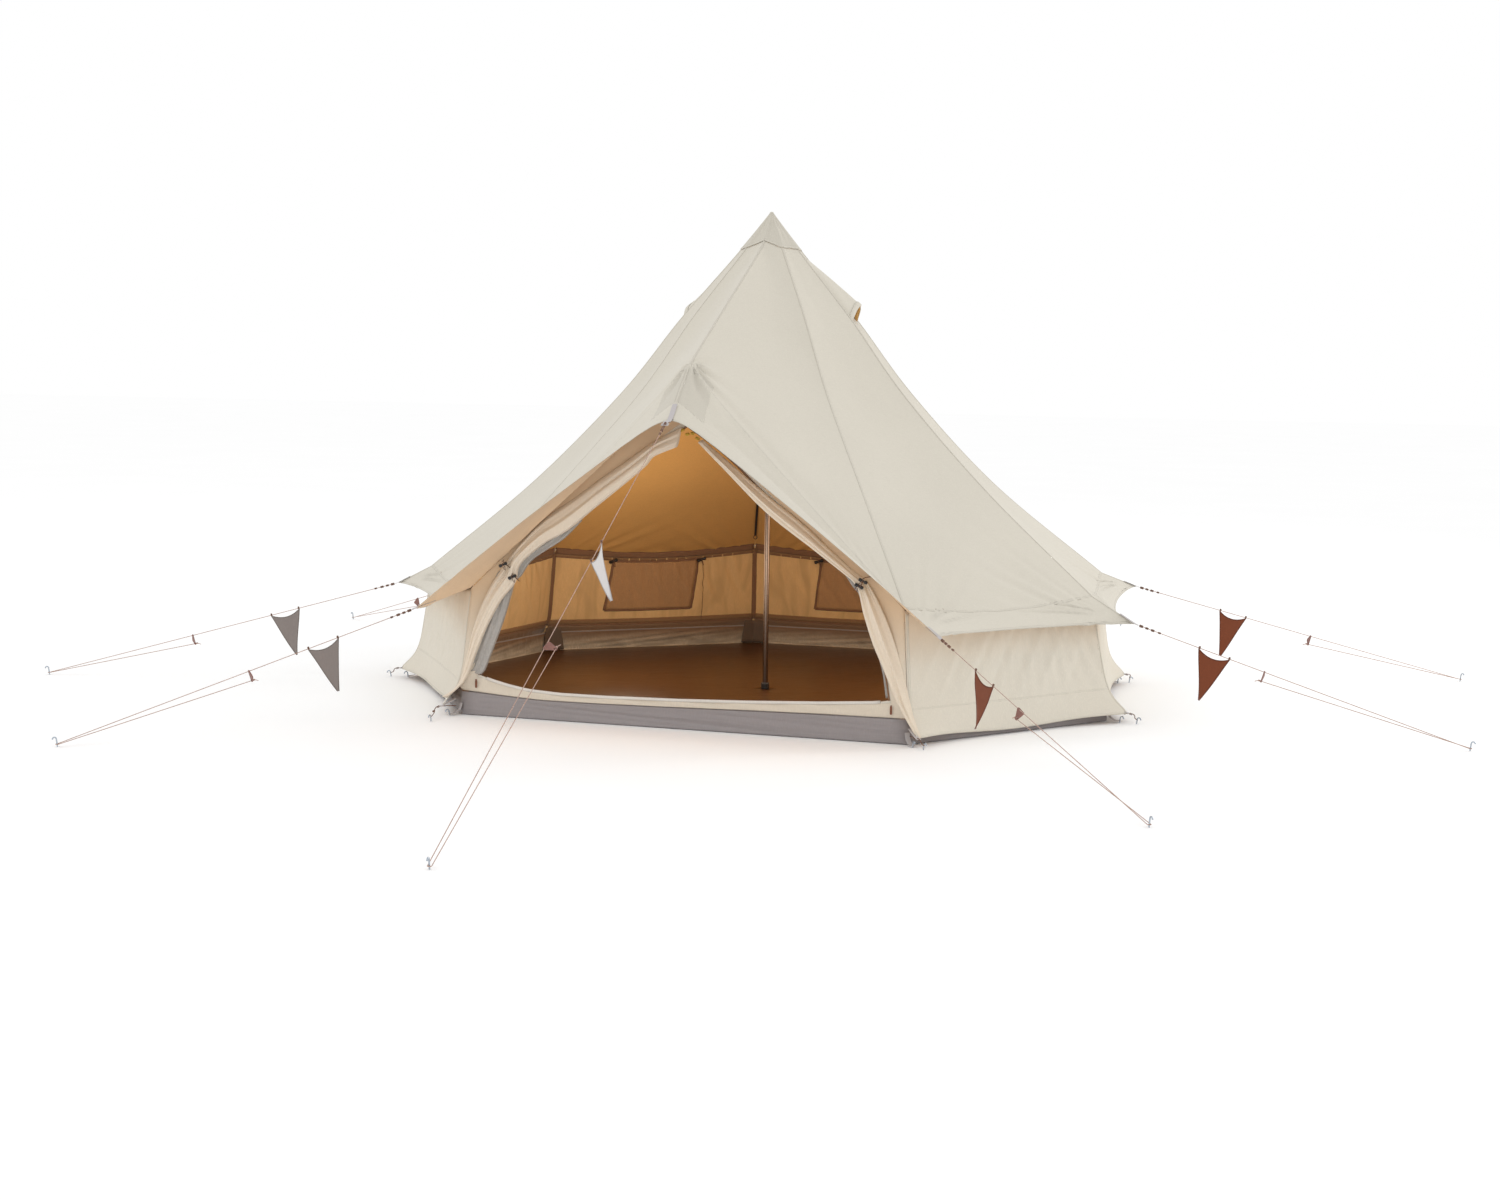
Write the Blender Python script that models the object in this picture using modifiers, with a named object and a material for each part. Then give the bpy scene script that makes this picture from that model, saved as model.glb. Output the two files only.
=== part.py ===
"""Bell tent with a nine-sided plan, on a centre mast and a bent door frame, held by nine guy lines.

Metres, +Z up. The origin is the middle of the groundsheet's underside. The door faces -Y.
Plan angles are in degrees: 0 is the door side, -Y, and a positive angle turns towards +X.
"""

import math
from collections import namedtuple

import bmesh
import bpy
from mathutils import Matrix, Vector

# Canvas
CANVAS = 0.0025
SEWN_GAP = 0.0015
PORCH_GAP = 0.004
PANEL_COLUMNS = 6
RIDGE_ROWS = 9
PANEL_SAG = 0.030
HEM_MIDDLE = 0.10

# Corners of the plan: plan angle, then radius and height at the hem of the wall, roof seam and eave.
Corner = namedtuple("Corner", "angle base seam seam_height eave eave_height")
SECTOR = 40.0
DOOR_CORNER_ANGLE = 39.4
WALL_HEM_HEIGHT = 0.035
WALL_UNDER_ROOF = (0.004, 0.008)
CORNERS = {
    "door_right": Corner(DOOR_CORNER_ANGLE, 1.84, 1.77, 0.64, 2.14, 0.55),
    "right_front": Corner(2 * SECTOR, 1.98, 1.865, 0.63, 2.09, 0.505),
    "right_rear": Corner(3 * SECTOR, 2.0, 1.93, 0.63, 2.14, 0.55),
    "rear_right": Corner(4 * SECTOR, 2.0, 1.93, 0.63, 2.09, 0.53),
    "rear_left": Corner(5 * SECTOR, 2.0, 1.93, 0.63, 2.09, 0.53),
    "left_rear": Corner(6 * SECTOR, 2.0, 1.93, 0.63, 2.09, 0.53),
    "left_front": Corner(7 * SECTOR, 1.975, 1.885, 0.63, 2.075, 0.53),
    "door_left": Corner(9 * SECTOR - DOOR_CORNER_ANGLE, 1.84, 1.77, 0.64, 2.07, 0.55),
}

# Ridge lines from the peak downwards, as radius and height
RIDGE_PROFILE = ((0.05, 2.52), (0.21, 2.33), (0.49, 2.01), (0.81, 1.61), (1.295, 1.12))
DOOR_RIDGE_PROFILE = ((0.05, 2.49), (0.20, 2.375), (0.72, 2.085), (1.256, 1.787))
PORCH_BREAK = (1.42, 1.64)
PORCH_TIP = (1.543, 1.506)

# Groundsheet
TUB_INSET = 0.02
TUB_WALL = 0.12
TUB_SHEET = 0.003

# Front wall and doorway, as half outlines in x and z
DOOR_LEAN = 0.08
DOOR_SETBACK = 0.012
OPENING = ((0.0, 1.47), (0.20, 1.335), (0.40, 1.16), (0.60, 0.995), (0.80, 0.835), (0.91, 0.735),
           (0.965, 0.60), (1.02, 0.40), (1.06, 0.205))
SILL_BOTTOM = 0.124
FRONT_UNDER_ROOF = 0.028
FRONT_FROM_WALL = 0.006
FRONT_FOOT = 1.150
PORCH_OVERHANG_ROWS = 0.85
FLAP_ROUTE = ((0.07, 1.43), (0.26, 1.285), (0.46, 1.115), (0.66, 0.955), (0.87, 0.785), (0.945, 0.69),
              (1.0, 0.52), (1.06, 0.34), (1.10, 0.17))
FLAP_RADIUS = 0.024
FLAP_END_RADIUS_SHARE = 0.75
FLAP_FORWARD = 0.034

# Poles
MAST_RADIUS = 0.015
MAST_TOP = 2.515
MAST_JOIN = 1.25
FOOT_RADIUS = 0.022
FOOT_HEIGHT = 0.036
FOOT_CHAMFERS = (0.006, 0.003)
FOOT_WAIST_SHARES = (0.85, 0.90)
TOUCH_GAP = 0.0003
FRAME_RADIUS = 0.0095
FRAME_FOOT = (1.075, 0.0135)
FRAME_KNEE = ((1.065, 0.46), (1.065, 0.50), (1.045, 0.625), (0.955, 0.74))
FRAME_TOP = ((0.12, 1.535), (0.05, 1.6), (0.0, 1.615))
FRAME_BEHIND_WALL = 0.036

# Peak cap and vent hoods
CAP_TOP = 2.585
CAP_RINGS = ((0.09, 2.497), (0.185, 2.392))
CAP_DOOR_LIFT = 0.02
HOOD_ANGLE = 100.0
HOOD_TOP_HEIGHT = 2.33
HOOD_MOUTH_HEIGHT = 1.99
HOOD_TOP_HALF_WIDTH = 0.062
HOOD_MOUTH_HALF_WIDTH = 0.158
HOOD_TOP_CROWN = 0.010
HOOD_CROWN = 0.080
HOOD_CLEARANCE = 0.006

# Guy lines: which corner they leave, where they are pegged, and what is on them, as distances along the line
CORD_RADIUS = 0.00175
PEG_HEIGHT = 0.012
LINE_OFF_EAVE = (0.010, -0.002)
Guy = namedtuple("Guy", "name peg_angle peg_radius runner_at pennant_at colour")
BROWN = (0.26, 0.09, 0.04, 1.0)
GREY = (0.27, 0.24, 0.22, 1.0)
PALE = (0.62, 0.60, 0.60, 1.0)
GUYS = (
    Guy("porch", 2.6, 4.51, 1.90, 1.16, PALE),
    Guy("door_right", 41.3, 3.78, 0.70, 0.40, BROWN),
    Guy("right_front", 81.8, 3.72, 0.66, 0.40, BROWN),
    Guy("right_rear", 117.6, 4.08, 1.05, 0.57, BROWN),
    Guy("rear_right", 160.0, 4.00, 1.15, None, None),
    Guy("rear_left", 200.0, 4.00, 1.15, None, None),
    Guy("left_rear", 241.6, 4.05, 1.26, None, None),
    Guy("left_front", 285.3, 3.99, 1.16, 0.63, GREY),
    Guy("door_left", 320.3, 3.83, 0.87, 0.48, GREY),
)
PORCH_LINE_AT = (1.59, 1.503)
LINE_START = 0.012
LEG_SPREAD = 0.048
PEG_LOOP_RADIUS = 0.008
PEG_RADIUS = 0.0035
PEG_STEM = 0.036
PEG_HOOK = 0.009
PEG_LEAN = 0.12
PEG_HOOK_TURN = 1.05 * math.pi
PEG_CLEARANCE = 0.0006
RUNNER_THICKNESS = 0.005
RUNNER_HOLE = 0.0032
RUNNER_SLOT = 0.0065
RUNNER_RIM = 0.0065
RUNNER_DEPTH = 0.026
PENNANT_HALF_WIDTH = 0.078
PENNANT_DROP = 0.25
PENNANT_SHEET = 0.002
PENNANT_TOP_DIP = 0.026
PENNANT_LOOP = (0.0040, 0.0013)
PENNANT_CORNER = 0.005
PENNANT_SHOULDER = (0.020, 0.020)
PENNANT_TIP = 0.003
PENNANT_BELLY = (0.42, -0.52, 0.10)

# Zip pulls
PULL_AT = (1.075, 0.185)
PULL_LENGTH = 0.045
PULL_WIDTH = 0.010
PULL_THICKNESS = 0.003
PULL_SHOULDER = 0.012
PULL_ROUND = 0.003
PULL_FORWARD = 0.012


def polar(angle, radius, height):
    """A point from its plan angle, its distance from the mast and its height."""
    turn = math.radians(angle)
    return Vector((radius * math.sin(turn), -radius * math.cos(turn), height))


def smooth(points, count):
    """count points spread evenly along a Catmull-Rom curve through points."""
    knots = [Vector(p) for p in points]
    knots = [2 * knots[0] - knots[1], *knots, 2 * knots[-1] - knots[-2]]
    fine = []
    for a, b, c, d in zip(knots, knots[1:], knots[2:], knots[3:]):
        for step in range(24):
            t = step / 24
            fine.append(
                b + 0.5 * t * (c - a)
                + t * t * (a - 2.5 * b + 2 * c - 0.5 * d)
                + 0.5 * t * t * t * (3 * b - a - 3 * c + d)
            )
    fine.append(knots[-2])
    travelled = [0.0]
    for before, after in zip(fine, fine[1:]):
        travelled.append(travelled[-1] + (after - before).length)
    spread = []
    at = 0
    for index in range(count):
        target = travelled[-1] * index / (count - 1)
        while at < len(fine) - 2 and travelled[at + 1] < target:
            at += 1
        share = (target - travelled[at]) / (travelled[at + 1] - travelled[at])
        spread.append(fine[at].lerp(fine[at + 1], share))
    return spread


def material(name, colour, roughness, metallic=0.0):
    made = bpy.data.materials.new(name)
    made.use_nodes = True
    shader = made.node_tree.nodes["Principled BSDF"]
    shader.inputs["Base Color"].default_value = colour
    shader.inputs["Roughness"].default_value = roughness
    shader.inputs["Metallic"].default_value = metallic
    return made


def place(name, data, look, home=None):
    """Adds an object to the tent, or to the helpers where home says so."""
    piece = bpy.data.objects.new(name, data)
    (home or tent).objects.link(piece)
    if look is not None:
        data.materials.append(look)
    return piece


def grid_mesh(name, rows, closed=False):
    """A mesh of quads between rows of points. A closed grid joins the last column to the first."""
    mesh = bpy.data.meshes.new(name)
    shape = bmesh.new()
    made = [[shape.verts.new(p) for p in row] for row in rows]
    for upper, lower in zip(made, made[1:]):
        last = len(upper) if closed else len(upper) - 1
        for left in range(last):
            right = (left + 1) % len(upper)
            shape.faces.new((upper[left], lower[left], lower[right], upper[right]))
    shape.to_mesh(mesh)
    shape.free()
    return mesh


def thicken(piece, thickness=CANVAS):
    """Gives an open sheet its thickness, on the side away from its normals."""
    shell = piece.modifiers.new("Sheet", "SOLIDIFY")
    shell.thickness = thickness
    shell.offset = -1.0
    shell.use_even_offset = True


def tube(name, points, radius, look, radii=None):
    """A round rod or cord along points."""
    data = bpy.data.curves.new(name, "CURVE")
    data.dimensions = "3D"
    data.bevel_depth = radius
    data.bevel_resolution = 2
    data.use_fill_caps = True
    line = data.splines.new("POLY")
    line.points.add(len(points) - 1)
    for index, point in enumerate(points):
        line.points[index].co = (*point, 1.0)
        line.points[index].radius = radii[index] if radii else 1.0
    return place(name, data, look)


def outline(name, loops, thickness, look, home=None):
    """A flat plate from closed loops of 2-D points: the first is its edge and the others are holes."""
    data = bpy.data.curves.new(name, "CURVE")
    data.dimensions = "2D"
    data.fill_mode = "BOTH"
    data.extrude = thickness / 2
    for loop in loops:
        line = data.splines.new("POLY")
        line.points.add(len(loop) - 1)
        line.use_cyclic_u = True
        for index, (x, y) in enumerate(loop):
            line.points[index].co = (x, y, 0.0, 1.0)
    return place(name, data, look, home)


def axes_matrix(across, along, normal, at):
    """The placing whose local X, Y and Z point along the three given directions."""
    turn = Matrix((across, along, normal)).transposed().to_4x4()
    return Matrix.Translation(at) @ turn


def ridge(corner):
    """A ridge line from the peak over the roof seam to the eave corner."""
    seam = (corner.seam, corner.seam_height)
    profile = smooth((*RIDGE_PROFILE, seam), RIDGE_ROWS)
    profile.append(Vector((corner.eave, corner.eave_height)))
    return [polar(corner.angle, radius, height) for radius, height in profile]


def door_ridge():
    """The ridge over the door, from the peak over the top of the door frame to the porch tip."""
    profile = smooth(DOOR_RIDGE_PROFILE, RIDGE_ROWS - 1)
    profile += [Vector(PORCH_BREAK), Vector(PORCH_TIP)]
    return [polar(0.0, radius, height) for radius, height in profile]


def sector_rows(left, right, middle_angle, hem_pull, gap):
    """Rows of a roof panel between two ridges, which sags between them and has a hollow hem."""
    inward = polar(middle_angle, -0.7, -0.7)
    outward = polar(middle_angle, 1.0, 0.0)
    rows = []
    seam_row = len(left) - 2
    for index, (start, end) in enumerate(zip(left, right)):
        margin = gap / (end - start).length
        sag = PANEL_SAG * math.sin(math.pi * index / seam_row) if index < seam_row else 0.0
        row = []
        for column in range(PANEL_COLUMNS + 1):
            across = margin + (1 - 2 * margin) * column / PANEL_COLUMNS
            bow = math.sin(math.pi * across)
            point = start.lerp(end, across) + inward * sag * bow
            if index > seam_row:
                point -= outward * hem_pull * bow
            row.append(point)
        rows.append(row)
    return rows


def roof_panel(name, left, right, middle_angle, pull=0.0, gap=SEWN_GAP):
    rows = sector_rows(left, right, middle_angle, pull, gap)
    thicken(place("roof_panel_" + name, grid_mesh(name, rows), canvas))


def hem_pull(first, second):
    """How far the middle of a hem lies inside the straight line between its eave corners."""
    half = math.cos(math.radians((second.angle - first.angle) / 2))
    overhang = (first.eave + second.eave - first.seam - second.seam) / 2 * half
    return overhang - HEM_MIDDLE


def build_roof():
    panels = ("right_front", "right", "right_rear", "rear", "left_rear", "left", "left_front")
    around = list(CORNERS.values())
    for panel, first, second in zip(panels, around, around[1:]):
        middle = (first.angle + second.angle) / 2
        roof_panel(panel, ridge(first), ridge(second), middle, hem_pull(first, second))
    roof_panel("front_right", door_ridge(), ridge(CORNERS["door_right"]), SECTOR / 2, gap=PORCH_GAP)
    roof_panel("front_left", ridge(CORNERS["door_left"]), door_ridge(), -SECTOR / 2, gap=PORCH_GAP)


def wall_rows(corners):
    """Rows of a wall that runs round the given corners, from just under the roof seam to its hem."""
    top = [polar(c.angle, c.seam - WALL_UNDER_ROOF[0], c.seam_height - WALL_UNDER_ROOF[1]) for c in corners]
    hem = [polar(c.angle, c.base, WALL_HEM_HEIGHT) for c in corners]
    rows = []
    for share in (0.0, 0.5, 1.0):
        line = [a.lerp(b, share) for a, b in zip(top, hem)]
        line[0] = line[0] + (line[1] - line[0]).normalized() * SEWN_GAP
        line[-1] = line[-1] + (line[-2] - line[-1]).normalized() * SEWN_GAP
        row = [line[0]]
        for start, end in zip(line, line[1:]):
            row += [start.lerp(end, step / 4) for step in (1, 2, 3, 4)]
        rows.append(row)
    return rows


def build_walls():
    runs = {
        "wall_right_front": [CORNERS["door_right"], CORNERS["right_front"]],
        "wall_right": [CORNERS["right_front"], CORNERS["right_rear"]],
        "wall_rear": [CORNERS[n] for n in ("right_rear", "rear_right", "rear_left", "left_rear")],
        "wall_left": [CORNERS["left_rear"], CORNERS["left_front"]],
        "wall_left_front": [CORNERS["left_front"], CORNERS["door_left"]],
    }
    for name, corners in runs.items():
        piece = place(name, grid_mesh(name, wall_rows(corners)), canvas)
        thicken(piece)


def build_groundsheet():
    """A tray: the floor and its upstand, with the outer faces where the sheet's outside is."""
    plan = [polar(c.angle, c.base - TUB_INSET, 0.0) for c in CORNERS.values()]
    mesh = bpy.data.meshes.new("groundsheet")
    shape = bmesh.new()
    floor = [shape.verts.new(p) for p in plan]
    rim = [shape.verts.new(p + Vector((0, 0, TUB_WALL))) for p in plan]
    shape.faces.new(reversed(floor))
    for index in range(len(plan)):
        after = (index + 1) % len(plan)
        shape.faces.new((floor[index], floor[after], rim[after], rim[index]))
    bmesh.ops.recalc_face_normals(shape, faces=shape.faces)
    shape.faces.ensure_lookup_table()
    if shape.faces[0].normal.z > 0:
        bmesh.ops.reverse_faces(shape, faces=shape.faces)
    shape.to_mesh(mesh)
    shape.free()
    thicken(place("groundsheet", mesh, groundsheet_look), TUB_SHEET)


def wall_depth(height):
    """How far forward the leaning front wall stands at a height."""
    corner = polar(DOOR_CORNER_ANGLE, CORNERS["door_right"].base, 0.0)
    return corner.y + DOOR_SETBACK + DOOR_LEAN * height


def front_point(x, height, forward=0.0):
    return Vector((x, wall_depth(height) - forward, height))


def under_roof_line(count):
    """The top edge of the front wall's right half: under the roof, from the porch ridge to the corner."""
    left = door_ridge()
    right = ridge(CORNERS["door_right"])
    low = RIDGE_ROWS - 1
    line = []
    for step in range(count):
        across = step / (count - 1)
        row = low - PORCH_OVERHANG_ROWS * (1 - across)
        first = int(row)
        share = row - first
        if first >= low:
            first, share = low - 1, 1.0
        start = left[first].lerp(left[first + 1], share)
        end = right[first].lerp(right[first + 1], share)
        line.append(start.lerp(end, across) - Vector((0.0, 0.0, FRONT_UNDER_ROOF)))
    return line


def build_front_wall():
    """A ring of canvas round the doorway: half of it, mirrored."""
    shoulder_count = 8
    inner = smooth([(x, z, 0.0) for x, z in OPENING[:6]], shoulder_count)
    inner += smooth([(x, z, 0.0) for x, z in OPENING[5:]], 4)[1:]
    opening = [front_point(x, z) for x, z, _ in inner]
    outer = under_roof_line(shoulder_count)
    corner_top = outer[-1] - Vector((FRONT_FROM_WALL, 0.0, 0.0))
    corner_low = front_point(FRONT_FOOT, SILL_BOTTOM)
    outer[-1] = corner_top
    outer += [corner_top.lerp(corner_low, step / 3) for step in (1, 2, 3)]
    sill_top = OPENING[-1][1]
    for share in (0.75, 0.5, 0.25, 0.0):
        opening.append(front_point(OPENING[-1][0] * share, sill_top))
        outer.append(front_point(corner_low.x * share, SILL_BOTTOM))
    middle = [a.lerp(b, 0.5) for a, b in zip(outer, opening)]
    piece = place("front_wall", grid_mesh("front_wall", list(zip(*[outer, middle, opening]))), canvas)
    half = piece.modifiers.new("Other half", "MIRROR")
    half.merge_threshold = 0.0001
    thicken(piece)


def build_door_flaps():
    """Each tied-back door leaf, as the long roll that its gathered cloth makes beside the doorway."""
    route = smooth([(x, z, 0.0) for x, z in FLAP_ROUTE], 16)
    fullness = [math.sin(math.pi * index / (len(route) - 1)) for index in range(len(route))]
    radii = [FLAP_END_RADIUS_SHARE + (1 - FLAP_END_RADIUS_SHARE) * share for share in fullness]
    for name, side in (("door_flap_right", 1.0), ("door_flap_left", -1.0)):
        points = [front_point(side * x, z, FLAP_FORWARD) for x, z, _ in route]
        tube(name, points, FLAP_RADIUS, canvas, radii)


def build_poles():
    floor = TUB_SHEET + TOUCH_GAP
    foot_top = floor + FOOT_HEIGHT
    top_radius, low_radius = (FOOT_RADIUS * share for share in FOOT_WAIST_SHARES)
    turned("mast_foot", ((0.0, foot_top), (top_radius, foot_top), (FOOT_RADIUS, foot_top - FOOT_CHAMFERS[0]),
                         (FOOT_RADIUS, floor + FOOT_CHAMFERS[1]), (low_radius, floor), (0.0, floor)), black)
    turned("mast_lower", rod_profile(foot_top + TOUCH_GAP, MAST_JOIN), steel)
    turned("mast_upper", rod_profile(MAST_JOIN + TOUCH_GAP, MAST_TOP), steel)
    half = [FRAME_FOOT, *smooth(FRAME_KNEE, 6), *smooth(FRAME_TOP, 4)]
    right = [front_point(x, z, -FRAME_BEHIND_WALL) for x, z in half]
    left = [Vector((-p.x, p.y, p.z)) for p in reversed(right[:-1])]
    tube("door_frame", right + left, FRAME_RADIUS, steel)


def rod_profile(low, high):
    return ((0.0, high), (MAST_RADIUS, high), (MAST_RADIUS, low), (0.0, low))


def turned(name, profile, look):
    """A solid turned about the mast's axis from its half profile, from the top down its outer side."""
    mesh = bpy.data.meshes.new(name)
    shape = bmesh.new()
    corners = [shape.verts.new((radius, 0.0, height)) for radius, height in profile]
    for upper, lower in zip(corners, corners[1:]):
        shape.edges.new((upper, lower))
    shape.to_mesh(mesh)
    shape.free()
    piece = place(name, mesh, look)
    spin = piece.modifiers.new("Turn", "SCREW")
    spin.steps = 24
    spin.render_steps = 24
    spin.use_merge_vertices = True
    spin.merge_threshold = 0.0001


def build_cap():
    """The nine-sided cone of doubled canvas over the peak."""
    angles = [SECTOR / 2 * index for index in range(round(720 / SECTOR))]
    rows = []
    for radius, height in CAP_RINGS:
        row = []
        for angle in angles:
            corner = 1.0 if angle % SECTOR == 0 else math.cos(math.radians(SECTOR / 2))
            lift = CAP_DOOR_LIFT if angle == 0.0 else 0.0
            row.append(polar(angle, radius * corner, height + lift * radius / CAP_RINGS[-1][0]))
        rows.append(row)
    mesh = grid_mesh("peak_cap", rows, closed=True)
    shape = bmesh.new()
    shape.from_mesh(mesh)
    shape.verts.ensure_lookup_table()
    top = shape.verts.new((0.0, 0.0, CAP_TOP))
    ring = list(shape.verts)[: len(angles)]
    for index, vertex in enumerate(ring):
        shape.faces.new((top, vertex, ring[(index + 1) % len(ring)]))
    bmesh.ops.recalc_face_normals(shape, faces=shape.faces)
    shape.to_mesh(mesh)
    shape.free()
    thicken(place("peak_cap", mesh, canvas))


def build_hoods():
    """Scoops of canvas over the two vents, open at the bottom."""
    columns = 8
    steps = 5
    profile = smooth(RIDGE_PROFILE, 40)
    slope = Vector((0.76, 0.65))
    flat = math.cos(math.radians(SECTOR / 2))
    for name, side in (("vent_hood_right", 1.0), ("vent_hood_left", -1.0)):
        angle = side * HOOD_ANGLE
        tangent = polar(angle + 90.0, 1.0, 0.0)
        normal = polar(angle, slope.x, slope.y)
        rows = []
        for step in range(steps + 1):
            share = step / steps
            height = HOOD_TOP_HEIGHT + (HOOD_MOUTH_HEIGHT - HOOD_TOP_HEIGHT) * share
            radius = next(p.x for p in profile if p.y <= height) * flat
            half_width = HOOD_TOP_HALF_WIDTH + (HOOD_MOUTH_HALF_WIDTH - HOOD_TOP_HALF_WIDTH) * share
            row = []
            for column in range(columns + 1):
                across = -1.0 + 2.0 * column / columns
                rise = HOOD_CLEARANCE + (HOOD_TOP_CROWN + HOOD_CROWN * share) * math.sqrt(1.0 - across * across)
                row.append(polar(angle, radius, height) + tangent * across * half_width + normal * rise)
            rows.append(row)
        piece = place(name, grid_mesh(name, rows), canvas)
        thicken(piece)


def guy_ends(guy):
    """The line's first point, just off the eave, its peg, and the level directions outwards and sideways."""
    if guy.name == "porch":
        eave = polar(0.0, *PORCH_LINE_AT)
    else:
        corner = CORNERS[guy.name]
        eave = polar(corner.angle, corner.eave + LINE_OFF_EAVE[0], corner.eave_height + LINE_OFF_EAVE[1])
    peg = polar(guy.peg_angle, guy.peg_radius, PEG_HEIGHT)
    level = Vector((peg.x - eave.x, peg.y - eave.y, 0.0)).normalized()
    side = Vector((0.0, 0.0, 1.0)).cross(level)
    return eave + (peg - eave).normalized() * LINE_START, peg, level, side


def runner_axes(guy, sideways=False):
    """The runner's place on the line and its directions: along the line, and from its hole to its slot."""
    start, peg, _, side = guy_ends(guy)
    along = (peg - side * PEG_LOOP_RADIUS - start).normalized()
    across = side if sideways else Vector((0.0, 0.0, -1.0))
    across = (across - along * across.dot(along)).normalized()
    return start + along * guy.runner_at, along, across


def guy_route(guy):
    """From the eave through the runner, round the peg and back to the runner's slot."""
    start, peg, level, side = guy_ends(guy)
    at, along, across = runner_axes(guy, guy.name == "porch")
    loop = []
    for step in range(9):
        turn = math.pi * step / 8
        loop.append(peg - side * PEG_LOOP_RADIUS * math.cos(turn) + level * PEG_LOOP_RADIUS * math.sin(turn))
    down_leg = [start.lerp(loop[0], share) for share in (0.0, 0.2, 0.4, 0.6, 0.8, 0.94)]
    slot = at + across * LEG_SPREAD
    up_leg = [loop[-1].lerp(slot, share) for share in (0.08, 0.25, 0.5, 0.75, 1.0)]
    return down_leg + loop + up_leg


def circle(middle, radius, count=12):
    turns = [2 * math.pi * index / count for index in range(count)]
    return [(middle[0] + radius * math.cos(turn), middle[1] + radius * math.sin(turn)) for turn in turns]


def build_runner(guy):
    at, along, across = runner_axes(guy, guy.name == "porch")
    plate = outline("runner_" + guy.name, runner_loops(), RUNNER_THICKNESS, runner_look)
    plate.matrix_world = axes_matrix(across, along.cross(across), along, at)


def runner_loops():
    """The runner's edge, its round hole at the origin and its slot, which lies along +X."""
    points = ((0.0, 0.0), (LEG_SPREAD, 0.0), (LEG_SPREAD / 2, RUNNER_DEPTH))
    edge = []
    for index, corner in enumerate(points):
        before = Vector(points[index - 1])
        after = Vector(points[(index + 1) % 3])
        here = Vector(corner)
        first = (here - before).normalized()
        second = (after - here).normalized()
        start = math.atan2(-first.x, first.y)
        end = math.atan2(-second.x, second.y)
        while end < start:
            end += 2 * math.pi
        for step in range(5):
            turn = start + (end - start) * step / 4
            edge.append((here.x + RUNNER_RIM * math.cos(turn), here.y + RUNNER_RIM * math.sin(turn)))
    slot = []
    for x, start in ((LEG_SPREAD, -90.0), (LEG_SPREAD - RUNNER_SLOT, 90.0)):
        for step in range(7):
            turn = math.radians(start + 30.0 * step)
            slot.append((x + RUNNER_HOLE * math.cos(turn), RUNNER_HOLE * math.sin(turn)))
    return edge, circle((0.0, 0.0), RUNNER_HOLE)[::-1], slot[::-1]


def build_peg(guy):
    """The part of a steel peg above the ground: a stem that leans outwards and a hook over the line."""
    _, peg, level, _ = guy_ends(guy)
    up = Vector((0.0, 0.0, 1.0))
    foot = Vector((peg.x, peg.y, 0.0))
    route = [foot + (up + level * PEG_LEAN) * height for height in (PEG_CLEARANCE, PEG_STEM / 3, PEG_STEM)]
    middle = route[-1] + level * PEG_HOOK
    for step in range(1, 7):
        turn = math.pi - PEG_HOOK_TURN * step / 6
        route.append(middle + (level * math.cos(turn) + up * math.sin(turn)) * PEG_HOOK)
    tube("peg_" + guy.name, route, PEG_RADIUS, steel)


def build_pennant(guy, look):
    """A cloth pennant that hangs from the line by two loops, with its hinge axis along the line."""
    at, along, below = runner_axes(guy._replace(runner_at=guy.pennant_at))
    half = PENNANT_HALF_WIDTH
    low = PENNANT_LOOP[0]
    inner, shoulder = PENNANT_SHOULDER
    first_belly, second_belly, belly_at = PENNANT_BELLY
    flag = ((-half - PENNANT_CORNER, low), (-half + PENNANT_CORNER, low), (-half + inner, shoulder),
            (0.0, PENNANT_TOP_DIP), (half - inner, shoulder), (half - PENNANT_CORNER, low),
            (half + PENNANT_CORNER, low), (half * first_belly, belly_at), (PENNANT_TIP, PENNANT_DROP),
            (-PENNANT_TIP, PENNANT_DROP), (half * second_belly, belly_at))
    sheet = outline("pennant_" + guy.name, [flag], PENNANT_SHEET, look)
    sheet.matrix_world = axes_matrix(along, below, along.cross(below), at)
    piece = as_mesh(sheet)
    for name, side in (("first", -1.0), ("second", 1.0)):
        loop = ring(f"loop_{guy.name}_{name}", at + along * side * half, along)
        join = piece.modifiers.new("Loop " + name, "BOOLEAN")
        join.operation = "UNION"
        join.solver = "EXACT"
        join.object = loop


def as_mesh(curve):
    """The same piece with its curve turned into a mesh and its caps welded on."""
    bpy.context.view_layer.update()
    graph = bpy.context.evaluated_depsgraph_get()
    mesh = bpy.data.meshes.new_from_object(curve.evaluated_get(graph))
    shape = bmesh.new()
    shape.from_mesh(mesh)
    bmesh.ops.remove_doubles(shape, verts=shape.verts, dist=1e-5)
    shape.to_mesh(mesh)
    shape.free()
    name, place_at, home = curve.name, curve.matrix_world.copy(), curve.users_collection[0]
    bpy.data.objects.remove(curve)
    piece = bpy.data.objects.new(name, mesh)
    home.objects.link(piece)
    piece.matrix_world = place_at
    return piece


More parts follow.
